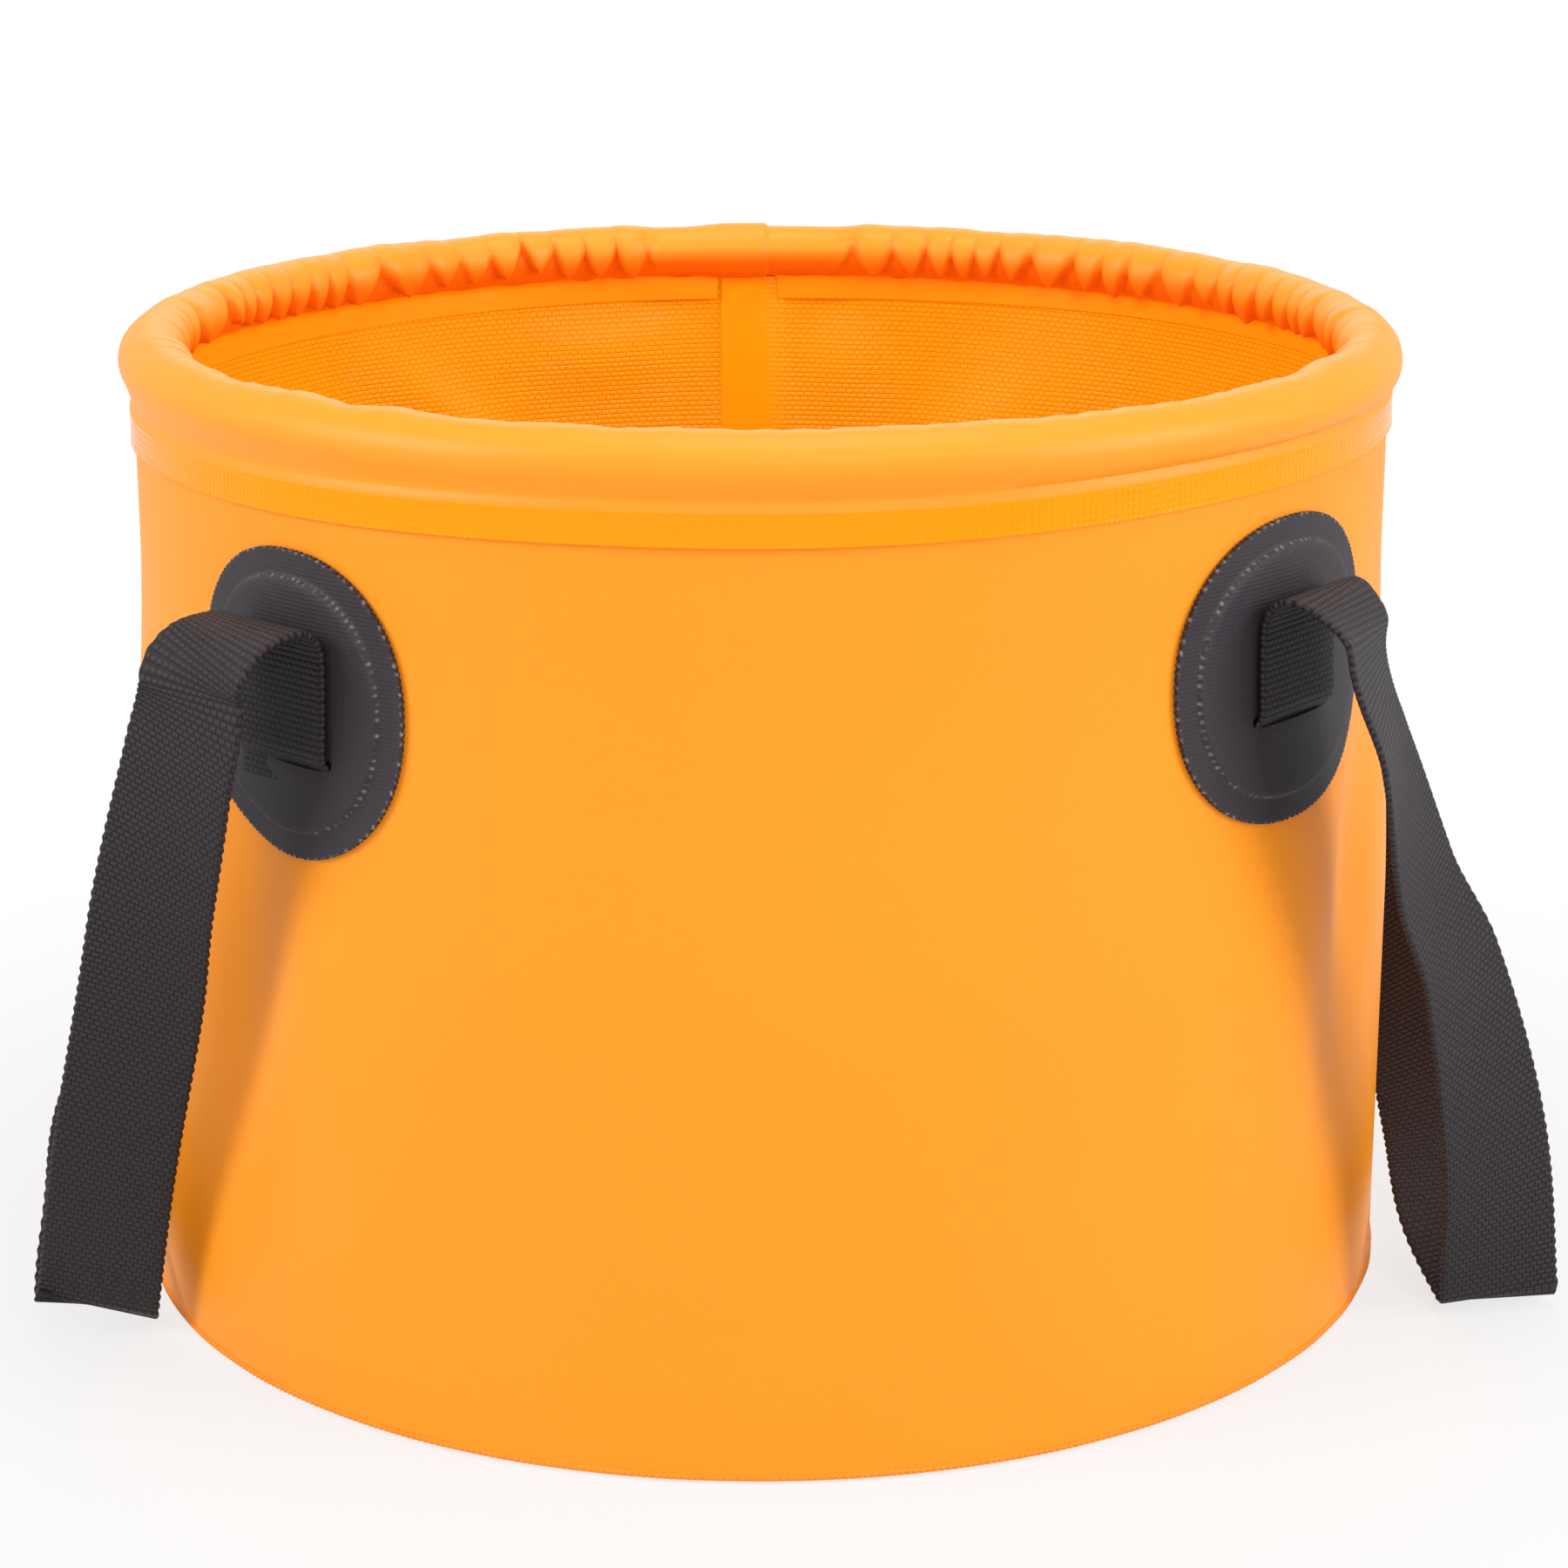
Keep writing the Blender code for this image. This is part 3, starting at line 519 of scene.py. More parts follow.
strands = calc(tree, "MULTIPLY", wave(tree, across, YARN_WIDTH / 4), 0.12)
bump(tree, shader, calc(tree, "ADD", raised, strands), 0.0003)

# %% [markdown]
# ### Hose and plug
#
# The hose and the plug that joins its ends are inside the sleeve. They get a plain milky grey
# and a clean white plastic.

# %% Hidden plastics
hose_grey, tree, shader = new_finish("hose_grey", (0.5, 0.5, 0.48), 0.4)
tint(tree, shader, cloudy(tree, 60.0), (0.44, 0.44, 0.42), (0.55, 0.55, 0.53))
bump(tree, shader, cloudy(tree, 900.0), 0.00003)
plug_white, tree, shader = new_finish("plug_white", (0.75, 0.75, 0.72), 0.3)
tint(tree, shader, cloudy(tree, 80.0), (0.70, 0.70, 0.66), (0.80, 0.80, 0.77))
bump(tree, shader, cloudy(tree, 600.0), 0.00002)

# %% [markdown]
# ## The wall
#
# The wall is one sheet rolled into a drum. It is not a perfect cylinder: the sheet stands by
# itself, so it has shallow dents, a deeper valley under each front patch, and the mouth draws it in
# a little. All that lies on the wall uses the same function for its radius, so that it stays on it.
# The patches keep the upper wall stiff.

# %% Wall shape
CLOTH = 0.0008
FOOT_RADIUS = 0.130
MOUTH_RADIUS = 0.1262
BELLY_HEIGHT = 0.078
NECK_HEIGHT = 0.156
WALL_HEIGHT = 0.18258
WALL_TUCK = 0.0015
WELD_TILT = 0.0019
LAP_ANGLE = 177.9
LAP_HALF = 2.754
LAP_BEND = 5.29
LAP_EDGE = 0.066
GAP = (174.8, 180.9)     # degrees between which the inner skirt is open

# Each dent: angle, height, half widths in degrees and metres, lean in degrees a metre, depth
DENTS = (
    (-14, 0.060, 11, 0.060, 40, -0.0009),
    (9, 0.085, 12, 0.070, -30, 0.0007),
    (33, 0.055, 10, 0.050, 60, -0.0007),
    (-38, 0.045, 9, 0.050, -60, 0.0006),
    (62, 0.090, 6, 0.036, 110, -0.0042),
    (-53, 0.088, 6, 0.036, 40, -0.0036),
    (-56, 0.045, 7, 0.032, 50, -0.0018),
    (104, 0.060, 13, 0.060, 60, 0.0006),
    (160, 0.125, 8, 0.035, 300, -0.0009),
    (194, 0.167, 9, 0.009, 0, -0.0030),
    (204, 0.140, 3.8, 0.026, 480, -0.0032),
    (211, 0.137, 3.8, 0.028, 480, 0.0030),
    (167, 0.163, 5, 0.010, 0, -0.0022),
    (152, 0.145, 6, 0.020, -300, -0.0028),
    (141, 0.140, 5, 0.026, -380, 0.0022),
    (250, 0.070, 12, 0.060, 40, 0.0006),
)


def smooth_drum(height):
    """The outer radius without dents: half a cosine draws the drum in from belly to neck."""
    rise = np.clip((height - BELLY_HEIGHT) / (NECK_HEIGHT - BELLY_HEIGHT), 0, 1)
    return FOOT_RADIUS - (FOOT_RADIUS - MOUTH_RADIUS) * (1 - np.cos(np.pi * rise)) / 2


def wall_radius(degrees, height):
    """The smooth drum's radius, to which each dent adds a bell that dies out at foot and weld.

    A bell is depth * exp(-(da / wa)^2 - (dz / wz)^2), where da leans with the height.
    """
    radius = smooth_drum(height)
    calm = ease(height, 0, 0.03) * (1 - ease(height, 0.171, 0.1795))
    for angle, middle, wide, tall, lean, depth in DENTS:
        away = (degrees - angle - lean * (height - middle) + 180) % 360 - 180
        bell = np.exp(-((away / wide) ** 2) - ((height - middle) / tall) ** 2)
        radius = radius + calm * depth * bell
    return radius


def lap_steps(degrees):
    """How far the outer and the inner face step inwards at the lap seam.

    The end that lies inside bends in over LAP_BEND degrees, and stops at its own raw edge.
    """
    outer_edge, inner_edge = LAP_ANGLE - LAP_HALF, LAP_ANGLE + LAP_HALF
    bent = ease(degrees, outer_edge - LAP_BEND, outer_edge - LAP_EDGE)
    outer = CLOTH * bent * (degrees < outer_edge)
    inner = CLOTH * bent * (degrees < inner_edge)
    return outer, inner


def lap_inset(away):
    """How far a piece on the wall's inner face steps in with it, by its degrees from the lap."""
    return CLOTH * (1 - ease(away, LAP_HALF + LAP_BEND, LAP_HALF + 2 * LAP_BEND))


def lap_gap(degrees):
    """1 between the inner skirt's two ends, which stop short of each other at the lap, else 0."""
    return ease(degrees, GAP[0] - 0.4, GAP[0]) * (1 - ease(degrees, GAP[1], GAP[1] + 0.3))


# %% Wall grid
WALL_COLUMNS = 480
WALL_ROWS = 64
GAP_RISE = 0.0025
even = np.arange(WALL_COLUMNS) * 360 / WALL_COLUMNS
edges = [
    LAP_ANGLE + side * LAP_HALF + step * LAP_EDGE for side in (-1, 1) for step in (-1, 1)
]
near_edge = np.abs(even[:, None] - np.array(edges)).min(axis=1) < 0.15
degrees = np.sort(np.concatenate([even[~near_edge], edges]))
tilt = WELD_TILT * np.sin(np.radians(degrees))
wall_top = WALL_HEIGHT - WALL_TUCK + tilt + GAP_RISE * lap_gap(degrees)
heights = np.linspace(0, 1, WALL_ROWS)[:, None] * wall_top
outer_step, inner_step = lap_steps(degrees)
radius = wall_radius(degrees, heights)
outside = around(radius - outer_step, degrees, heights)
inside = around(radius - CLOTH - inner_step, degrees, heights)
wall_points = np.concatenate([outside, inside[::-1]])
arc = np.radians(np.append(degrees, 360)) * FOOT_RADIUS
climb = closed(np.concatenate([heights, heights[::-1], heights[:1]]))
side_of_row = (np.arange(2 * WALL_ROWS) >= WALL_ROWS).astype(int)
wall = grid_piece(
    "wall_sheet", wall_points, sheet_uv(arc, climb), [satin_orange, mesh_orange],
    wrap_rows=True, wrap_columns=True, finish_of_row=side_of_row,
)
lap_strip = ease(degrees, edges[1] - 3, edges[1] + 1.5) * (degrees < edges[3] - LAP_EDGE)
mark(wall, "smooth", np.broadcast_to(lap_strip, wall_points.shape[:2]))
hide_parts("wall_panel")
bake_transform(wall)

# %% [markdown]
# ## The foot
#
# The base disc is welded to the wall's foot from inside. The weld leaves a thin serrated fin
# round the outside and a shallow channel inside.

# %% Weld fin
FIN_REACH = 0.0006
FIN_HEIGHT = 0.0011
TOOTH_PITCH = 0.0013
TOOTH_STEPS = 5
teeth = round(TURN * FOOT_RADIUS / TOOTH_PITCH)
degrees = np.arange(teeth * TOOTH_STEPS) * 360 / (teeth * TOOTH_STEPS)
tooth = (1 - np.cos(np.radians(degrees) * teeth)) / 2
reach = FIN_REACH * (0.35 + 0.65 * tooth) * (1 + 0.15 * wander(degrees, 5, 40, 3))
profile = np.array([
    (0, 0), (0.7, 0.05), (1, 0.45), (0.75, 0.85), (0.1, 1), (-0.3, 0.9), (-0.3, 0.1)
])
fin_points = around(
    FOOT_RADIUS + profile[:, :1] * reach, degrees, 0.0001 + profile[:, 1:] * FIN_HEIGHT
)
arc = np.radians(np.append(degrees, 360)) * FOOT_RADIUS
fin_uv = sheet_uv(arc, np.append(profile[:, 1], 0)[:, None] * FIN_HEIGHT)
fin = grid_piece("weld_fin", fin_points, fin_uv, [sleeve_orange], wrap_rows=True, wrap_columns=True)
# Painted shade: the fin takes 0.3 of the sleeve's deeper red, a darker line along the foot.
mark(fin, "fold", np.full(fin_points.shape[:2], 0.3))
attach(fin, "base")

# %% Base disc
FLANGE_HEIGHT = 0.004
CHANNEL_WIDTH = 0.0105
CHANNEL_SLOPE = 0.008
CORNER = 0.0012
SEAT = 0.0003
BASE_COLUMNS = 360
flange = FOOT_RADIUS - CLOTH - SEAT - CLOTH / 2
start = flange - CHANNEL_WIDTH
corner_turn = np.linspace(0, np.pi / 2, 5)[1:]
path_radius = np.concatenate([
    np.linspace(0.0004, start, 30), np.linspace(start, flange - CORNER, 16)[1:],
    flange - CORNER + CORNER * np.sin(corner_turn), [flange, flange],
])
rise = (FLANGE_HEIGHT - CLOTH) * ease(path_radius, start, start + CHANNEL_SLOPE)
path_height = CLOTH / 2 + rise
path_height[-6:-2] -= CORNER * (1 - np.cos(corner_turn))
path_height[-2:] = (0.0012, 0.0001)
slope = unit(np.stack([np.gradient(path_radius), np.gradient(path_height)], axis=-1))
normal = np.stack([-slope[:, 1], slope[:, 0]], axis=-1) * CLOTH / 2
degrees = np.arange(BASE_COLUMNS) * 360 / BASE_COLUMNS
inset = lap_inset(np.abs(degrees - LAP_ANGLE))
middle_path = np.stack([path_radius, path_height], axis=-1)
profile = np.concatenate([middle_path + normal, (middle_path - normal)[::-1]])
profile[:, 1] = np.maximum(profile[:, 1], 0.00005)
base_points = around(profile[:, :1] - inset * (profile[:, :1] > 0.1), degrees, profile[:, 1:])
turned = np.radians(np.append(degrees, 360))
base_uv = sheet_uv(profile[:, :1] * np.sin(turned), profile[:, :1] * np.cos(turned))
base = grid_piece("base_sheet", base_points, base_uv, [mesh_orange], wrap_columns=True, caps=True)
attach(base, "base")
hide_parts("base_disc")

# %% [markdown]
# ## The rim
#
# The sleeve is a strip of cloth folded over a hose. Its two skirts are welded to the wall, one
# outside and one inside. The weld wasn't done quite level, so the skirts sit lower at the left
# than at the right, while the hose itself is level. The path below is the sleeve's section, and
# a table of shifts moves its points as the section goes round.

# %% Sleeve path
RIM_RADIUS = 0.1229
RIM_HEIGHT = 0.1894
HOSE_RADIUS = 0.0045
SLEEVE = 0.0007
SHEET_RADIUS = 0.0052
PLAIN_LINE = 0.1233
OUTER_FOOT = 0.1757
WELD_TOP = 0.1818
NECK = (0.1262, 0.1840)
INNER_VALLEY = 0.1843
INNER_FOOT = 0.1785
HOSE_TILT = 0.0005
SKIRT_ROWS = 7
ARC_ROWS = 36
BEFORE_ARC, AFTER_ARC = -60.0, 290.0

outer_line = MOUTH_RADIUS + SEAT + SLEEVE / 2
inner_line = MOUTH_RADIUS - CLOTH - SEAT - SLEEVE / 2
centre = np.array([PLAIN_LINE, RIM_HEIGHT + 0.0002])
neck = np.array(NECK)
valley = np.array([inner_line - 0.0002, INNER_VALLEY])


def touch_angle(point, side):
    """Angle where a line from the point touches the tube: its bearing plus acos(r / distance)."""
    away = point - centre
    reach = math.acos(min(1, SHEET_RADIUS / np.linalg.norm(away)))
    return math.atan2(away[1], away[0]) + side * reach


first = touch_angle(neck, 1)
last = TURN + touch_angle(valley, -1)
arc_turn = np.linspace(first, last, ARC_ROWS)
arc_path = centre + SHEET_RADIUS * np.stack([np.cos(arc_turn), np.sin(arc_turn)], axis=-1)
band_rows = np.linspace((outer_line, OUTER_FOOT), (outer_line, WELD_TOP), SKIRT_ROWS)
neck_rows = np.linspace((outer_line, WELD_TOP), neck, 5)[1:]
neck_rows[:, 0] = outer_line + (neck[0] - outer_line) * ease(neck_rows[:, 1], WELD_TOP, neck[1])
under_rows = np.linspace(neck, arc_path[0], 4)[1:-1]
drop_rows = np.linspace(arc_path[-1], valley, 4)[1:-1]
inner_rows = np.linspace(valley, (inner_line, INNER_FOOT), 6)
path = np.concatenate([band_rows, neck_rows, under_rows, arc_path, drop_rows, inner_rows])
outer_count = len(band_rows) + len(neck_rows)
arc_start = outer_count + len(under_rows)
arc_end = arc_start + ARC_ROWS
turned_over = np.full(len(path), BEFORE_ARC)
turned_over[arc_start:arc_end] = np.degrees(arc_turn)
turned_over[arc_end:] = AFTER_ARC
weld_share = np.zeros(len(path))
weld_share[:outer_count] = 1
weld_share[outer_count:arc_start] = (0.6, 0.2)
weld_share[arc_end:arc_end + len(drop_rows)] = (0.3, 0.6)
weld_share[-len(inner_rows):] = (1, 0.9, 0.8, 0.7, 0.65, 0.6)
print("sleeve path from", path[0], "over", np.degrees(first), np.degrees(last), "to", path[-1])

# %% [markdown]
# Cloth on the inside of a ring has too little room, so it gathers. Each puff is a lobe that is
# broad on top of the hose and runs out to a tip on its inner side, with a dark fold between it
# and the next. A wave |cos| round the ring gives the lobes. A threshold that rises with the
# angle over the hose cuts them narrower and narrower, until only the tips are left. The tables
# below run over that angle, in degrees from the outer side over the top to the inner side.

# %% Gathers
SLEEVE_COLUMNS = 1500
PUFF_PITCH = 0.0084
FREE_HALF = 10.5
degrees = np.arange(SLEEVE_COLUMNS) * 360 / SLEEVE_COLUMNS
puffs = round(TURN * RIM_RADIUS / PUFF_PITCH)
over = turned_over[:, None]
away = np.abs((degrees - LAP_ANGLE + 180) % 360 - 180)
plain = ease(away, FREE_HALF - 1, FREE_HALF + 3)
lean = 0.5 * wander(degrees, 2, 12, 11) * (over - 130) / 90
phase = np.radians(degrees) * puffs / 2 + 1.7 * wander(degrees, 3, 22, 5) + lean
lobe = np.abs(np.cos(phase)) ** 0.85
tip = 9 * wander(degrees, 5, 40, 31)
threshold = np.interp(over - tip, [60, 128, 166, 192, 220], [-1.8, -0.95, -0.15, 0.45, 1.0])
fill = np.clip((lobe - threshold) / np.maximum(1 - threshold, 0.02), 0, 1)
puff = 1 - (1 - fill) ** 2.4
depth = np.interp(over, [10, 55, 100, 150, 222], [0, 0.00025, 0.0010, 0.0022, 0.0020])
size = np.clip(0.92 + 0.22 * wander(degrees, 8, 45, 8), 0.45, 1.3)
swell = depth * puff * size * plain + 0.00025 * (1 - plain) * ease(over, 60, 120) * (over < 200)
fine = wander(degrees, 60, 130, 2) * 0.00008 * ease(over, 50, 110) * (over < 230)
over_tube = ease(over, -30, 30) * (1 - ease(over, 200, 240))
smooth_waves = 0.00016 * wander(degrees, 3, 18, 21) * over_tube
swell = swell + fine * plain + smooth_waves

# %% [markdown]
# The sleeve's two ends lap over each other at the back, where one end's edge stands up by its
# own thickness. The tables above now make the whole sleeve: every row of the path is carried
# round the ring, and pushed out along its normal by the swell.

# %% Sleeve grid
SLEEVE_JOINT = 175.7
NOTCH = 0.0002
tangent = unit(np.gradient(path, axis=0))
normal = np.stack([tangent[:, 1], -tangent[:, 0]], axis=-1)
row_number = np.arange(len(path))[:, None]
inner_start = len(path) - len(inner_rows)
past = degrees - SLEEVE_JOINT
lap = SLEEVE * ease(past, -0.05, 0.05) * (1 - ease(past, 4.0, 9.4))
lap = lap * ease(over, BEFORE_ARC, -20) * (row_number < inner_start)
inset = lap_inset(away) * (row_number >= inner_start - 1)
turn_round = np.radians(degrees)
shift = WELD_TILT * np.sin(turn_round) * weld_share[:, None]
shift = shift + 0.0002 * wander(degrees, 2, 7, 41) * weld_share[:, None]
shift = shift - HOSE_TILT * np.cos(turn_round) * (1 - weld_share[:, None])
below_valley = (valley[1] - path[:, 1:]) * (row_number >= inner_start)
shift = shift + below_valley * 0.95 * lap_gap(degrees)
notch = NOTCH * (np.arange(SLEEVE_COLUMNS) % 2)
shift = shift + notch * ((row_number == 0) * 1.0 + (row_number == len(path) - 1))
pressed_in = 0.0001 * ((row_number > 0) & (row_number < SKIRT_ROWS))
puckers = 0.00022 * wander(degrees, 40, 110, 23) * (row_number >= arc_end)
puckers = puckers * ease(-row_number, -arc_end - 4, -arc_end)


def sleeve_face(out):
    """The path carried round the ring, moved out along its own normal."""
    radius = path[:, :1] + normal[:, :1] * out - inset
    return around(radius, degrees, path[:, 1:] + normal[:, 1:] * out + shift)


hidden_rows = np.unique(np.concatenate([
    [0, outer_count - 1], np.arange(3, len(path), 6), [inner_start, len(path) - 1]
]))[::-1]
exposed = sleeve_face(SLEEVE / 2 + swell + lap - pressed_in + puckers)
hidden = sleeve_face(-SLEEVE / 2)[hidden_rows]
sleeve_points = np.concatenate([exposed, hidden])
length = distance(path)
arc = np.radians(np.append(degrees, 360)) * MOUTH_RADIUS
run = np.concatenate([length, length[hidden_rows], length[:1]])
finish_of_row = np.zeros(len(sleeve_points), dtype=int)
finish_of_row[:SKIRT_ROWS - 1] = 1
finish_of_row[arc_end:len(path)] = 2
sleeve = grid_piece(
    "rim_cover", sleeve_points, sheet_uv(arc, run[:, None]),
    [sleeve_orange, pressed_orange, skirt_orange],
    wrap_rows=True, wrap_columns=True, finish_of_row=finish_of_row,
)
# At the front the weld number drops: the band is rougher there, and a little paler in colour, a
# painted sheen.
painted_sheen_front = np.exp(-(((degrees + 190) % 360 - 180) / 20) ** 2)
band = (row_number < SKIRT_ROWS) * (1 - 0.6 * painted_sheen_front)
# Painted shade: deeper red in the folds between the puffs and on the hose's underside.
painted_fold_shade = plain * ease(over, 85, 160) * (1 - puff) * (over < 225) + 0.85 * ease(over, 160, 202)
unseen = np.zeros(hidden.shape[:2])
mark(sleeve, "weld", np.concatenate([band, unseen]))
mark(sleeve, "fold", np.concatenate([np.clip(painted_fold_shade, 0, 1), unseen]))
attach(sleeve, "rim")
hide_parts("rim_sleeve")

# %% [markdown]
# The hose is a plain tube bent into a ring. It is a little thinner than the sleeve's widest
# room, so that the gathers never press on it. Its ends meet at the plug's collar.

# %% Hose
HOSE_BORE = 0.0031
HOSE_COLUMNS = 180
COLLAR = 0.0026
collar_half = math.degrees(COLLAR / 2 / RIM_RADIUS)
degrees_hose = LAP_ANGLE + np.linspace(collar_half, 360 - collar_half, HOSE_COLUMNS)
round_hose = np.linspace(0, TURN, 20, endpoint=False)


def hose_ring(radius, degrees, height):
    """A ring of points round the hose's line, where it is at that height."""
    out, up = radius * np.cos(round_hose), radius * np.sin(round_hose)
    return around(RIM_RADIUS + out, degrees, height + up)


hose_rows = [
    hose_ring(radius, angle, RIM_HEIGHT - HOSE_TILT * math.cos(math.radians(angle)))
    for radius, angles in ((HOSE_RADIUS, degrees_hose), (HOSE_BORE, degrees_hose[::-1]))
    for angle in angles
]
round_once = np.linspace(0, TURN, 21)
hose_uv = sheet_uv(np.arange(len(hose_rows) + 1)[:, None] * 0.004, round_once * HOSE_RADIUS)
hose = grid_piece(
    "hose", np.array(hose_rows), hose_uv, [hose_grey], wrap_rows=True, wrap_columns=True
)
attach(hose, "rim")
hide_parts("rim_hose")

# %% [markdown]
# The plug is a barbed rod along the same ring, with a collar as thick as the hose.

# %% Hose plug
BARBS = (
    (0.012, 0.75), (0.0103, 1.0), (0.0079, 0.8), (0.0077, 1.0), (0.0053, 0.8), (0.005, 1.0),
    (0.0026, 0.8), (0.001, 0.8), (0.001, 1.5),
)
half_plug = [(-along, size) for along, size in BARBS]
profile = np.array(half_plug + [(-along, size) for along, size in half_plug[::-1]])
plug_radius = HOSE_BORE - SEAT
plug_points = np.array([
    hose_ring(
        plug_radius * size, LAP_ANGLE + math.degrees(along / RIM_RADIUS), RIM_HEIGHT + HOSE_TILT
    )
    for along, size in profile
])
plug_uv = sheet_uv(profile[:, :1], round_once * HOSE_BORE)
plug = grid_piece("plug", plug_points, plug_uv, [plug_white], wrap_columns=True, caps=True)
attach(plug, "rim")
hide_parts("hose_joiner")

# %% [markdown]
# ## The patches
#
# Each patch is an oval facing over a smaller backing. The webbing's tail is welded between
# them, and its other end comes up out of a slot. The facing's edge was cut with a toothed
# tool, and a dotted weld runs inside it, where the cloth steps up onto the backing.

# %% Patch facing
PATCH_ANGLE = 46.4
PATCH_HEIGHT = 0.1413
PATCH_HALF_WIDTH = 0.0295
PATCH_HALF_LENGTH = 0.0290
PATCH_RING = 0.0058
PATCH_STEP = 0.0012
PATCH_SQUARENESS = 0.9
FACING = 0.001
BACKING = 0.0008
SLOT_HEIGHT = 0.1305
SLOT_HALF = 0.0012
WEBBING_HALF = 0.0125
WEBBING = 0.0013
PLATEAU = SEAT + BACKING + SEAT
PATCH_COLUMNS = 600


def oval(half_width, half_height, squareness, middle, turn):
    """Points (a |cos t|^q, b |sin t|^q) with the signs of cos t and sin t."""
    across = half_width * np.sign(np.cos(turn)) * np.abs(np.cos(turn)) ** squareness
    up = half_height * np.sign(np.sin(turn)) * np.abs(np.sin(turn)) ** squareness
    return np.stack([across, middle + up], axis=-1)


def patch_oval(half_width, inset, middle, turn):
    """A line round a patch, so far inside its edge."""
    return oval(half_width - inset, PATCH_HALF_LENGTH - inset, PATCH_SQUARENESS, middle, turn)


def on_wall(across, height, offset, angle):
    """Points so far across from the patch's middle, at a height and off the wall's outer face."""
    degrees = angle + np.degrees(across / MOUTH_RADIUS)
    return around(wall_radius(degrees, height) + offset, degrees, height)


TAIL_SHARE = 0.3
LINE_WIDTH = 0.00016
LINE_DEPTH = 0.0002
TOOTH_DEPTH = 0.00035
TEETH = 150
INNER_RINGS = 22
OUTER_RINGS = 18

# The bucket's own patches aren't quite alike: lift of the patch and of its slot, width share
PATCH_FITS = {"right": (0.0012, 0.0040, 1.05), "left": (-0.0022, -0.0009, 0.93)}
patch_places = {
    "right_front": PATCH_ANGLE,
    "right_rear": 180 - PATCH_ANGLE,
    "left_rear": 180 + PATCH_ANGLE,
    "left_front": 360 - PATCH_ANGLE,
}


def patch_fit(place):
    """Heights of a patch's middle and of its slot, and half its width."""
    patch_lift, slot_lift, width_share = PATCH_FITS[place.split("_")[0]]
    return PATCH_HEIGHT + patch_lift, SLOT_HEIGHT + slot_lift, PATCH_HALF_WIDTH * width_share


patch_turn = (np.arange(PATCH_COLUMNS) + 0.5) * TURN / PATCH_COLUMNS
to_slot = np.linspace(0, 1, INNER_RINGS)[:, None, None]
to_edge = np.linspace(0, 1, OUTER_RINGS)[1:, None, None]
from_ring = np.concatenate([np.zeros(INNER_RINGS), to_edge[:, 0, 0] * PATCH_RING])[:, None]
raised = 1 - ease(from_ring, 0.0001, PATCH_STEP)
line = np.exp(-(((from_ring - PATCH_STEP / 2) / LINE_WIDTH) ** 2))
teeth_share = (1 - np.cos(patch_turn * TEETH)) / 2
edge_pull = TOOTH_DEPTH * teeth_share * ease(from_ring, PATCH_RING - 0.0012, PATCH_RING)
for place, angle in patch_places.items():
    middle, slot, half_width = patch_fit(place)
    slot_edge = oval(WEBBING_HALF - 0.0002, SLOT_HALF, 0.35, slot, patch_turn)
    ring_line = patch_oval(half_width, PATCH_RING, middle, patch_turn)
    edge_line = patch_oval(half_width, 0, middle, patch_turn)
    rings = np.concatenate([
        slot_edge + (ring_line - slot_edge) * to_slot, ring_line + (edge_line - ring_line) * to_edge
    ])
    across, height = rings[..., 0], rings[..., 1]
    tail = np.exp(-((across / WEBBING_HALF) ** 4) - ((height - slot + 0.001) / 0.004) ** 4)
    tail_bulge = WEBBING * TAIL_SHARE * tail
    level = SEAT + raised * (PLATEAU - SEAT) + tail_bulge * (height < slot)
    outward = unit(rings - np.array([0, middle]))
    rings = rings - outward * edge_pull[..., None]
    across, height = rings[..., 0], rings[..., 1]
    tops = on_wall(across, height, level + FACING - LINE_DEPTH * line, angle)
    unders = on_wall(across, height, level, angle)[::-6]
    flat = np.concatenate([rings, rings[::-6], rings[:1]])
    facing = grid_piece(
        "facing_" + place, np.concatenate([tops, unders]), closed(flat), [patch_black],
        wrap_rows=True, wrap_columns=True,
    )
    # Painted glints: where the patch's finish paints its light specks, on the weld line and the
    # outer edge.
    painted_glint_line = np.maximum(line, ease(from_ring, PATCH_RING - 0.0005, PATCH_RING)) + 0 * across
    mark(facing, "weld", np.concatenate([painted_glint_line, np.zeros(unders.shape[:2])]))
    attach(facing, "rim")
    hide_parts("patch_facing_" + place)

# %% Patch backing
BACKING_INSET = PATCH_RING + 0.0012
backing_turn = (np.arange(240) + 0.5) * TURN / 240
for place, angle in patch_places.items():
    middle, slot, half_width = patch_fit(place)
    centre_line = np.array([0, middle])
    backing_edge = patch_oval(half_width, BACKING_INSET, middle, backing_turn)
    shares = np.linspace(0.02, 1, 14)[:, None, None]
    backing_rings = centre_line + (backing_edge - centre_line) * shares
    across, height = backing_rings[..., 0], backing_rings[..., 1]
    tops = on_wall(across, height, SEAT + BACKING, angle)
    points = np.concatenate([tops, on_wall(across, height, SEAT, angle)[::-1]])
    uv = closed(np.concatenate([backing_rings, backing_rings[::-1]]))
    backing = grid_piece(
        "backing_" + place, points, uv, [patch_black], wrap_columns=True, caps=True
    )
    mark(backing, "weld", np.zeros(points.shape[:2]))
    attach(backing, "rim")
    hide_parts("patch_backing_" + place)

# %% [markdown]
# ## The handles
#
# Each handle is one length of webbing. Its middle line is a list of places round the bucket,
# joined by smooth curves, and its width direction turns as it goes, because webbing that hangs
# free twists. It is creased where it turns back up near the ground. The rows carry the CAD
# model's own numbers, so the webbing hangs where the CAD solids are. Each side's arch has a
# lift of its own, and its slot is where that side's patches have it.

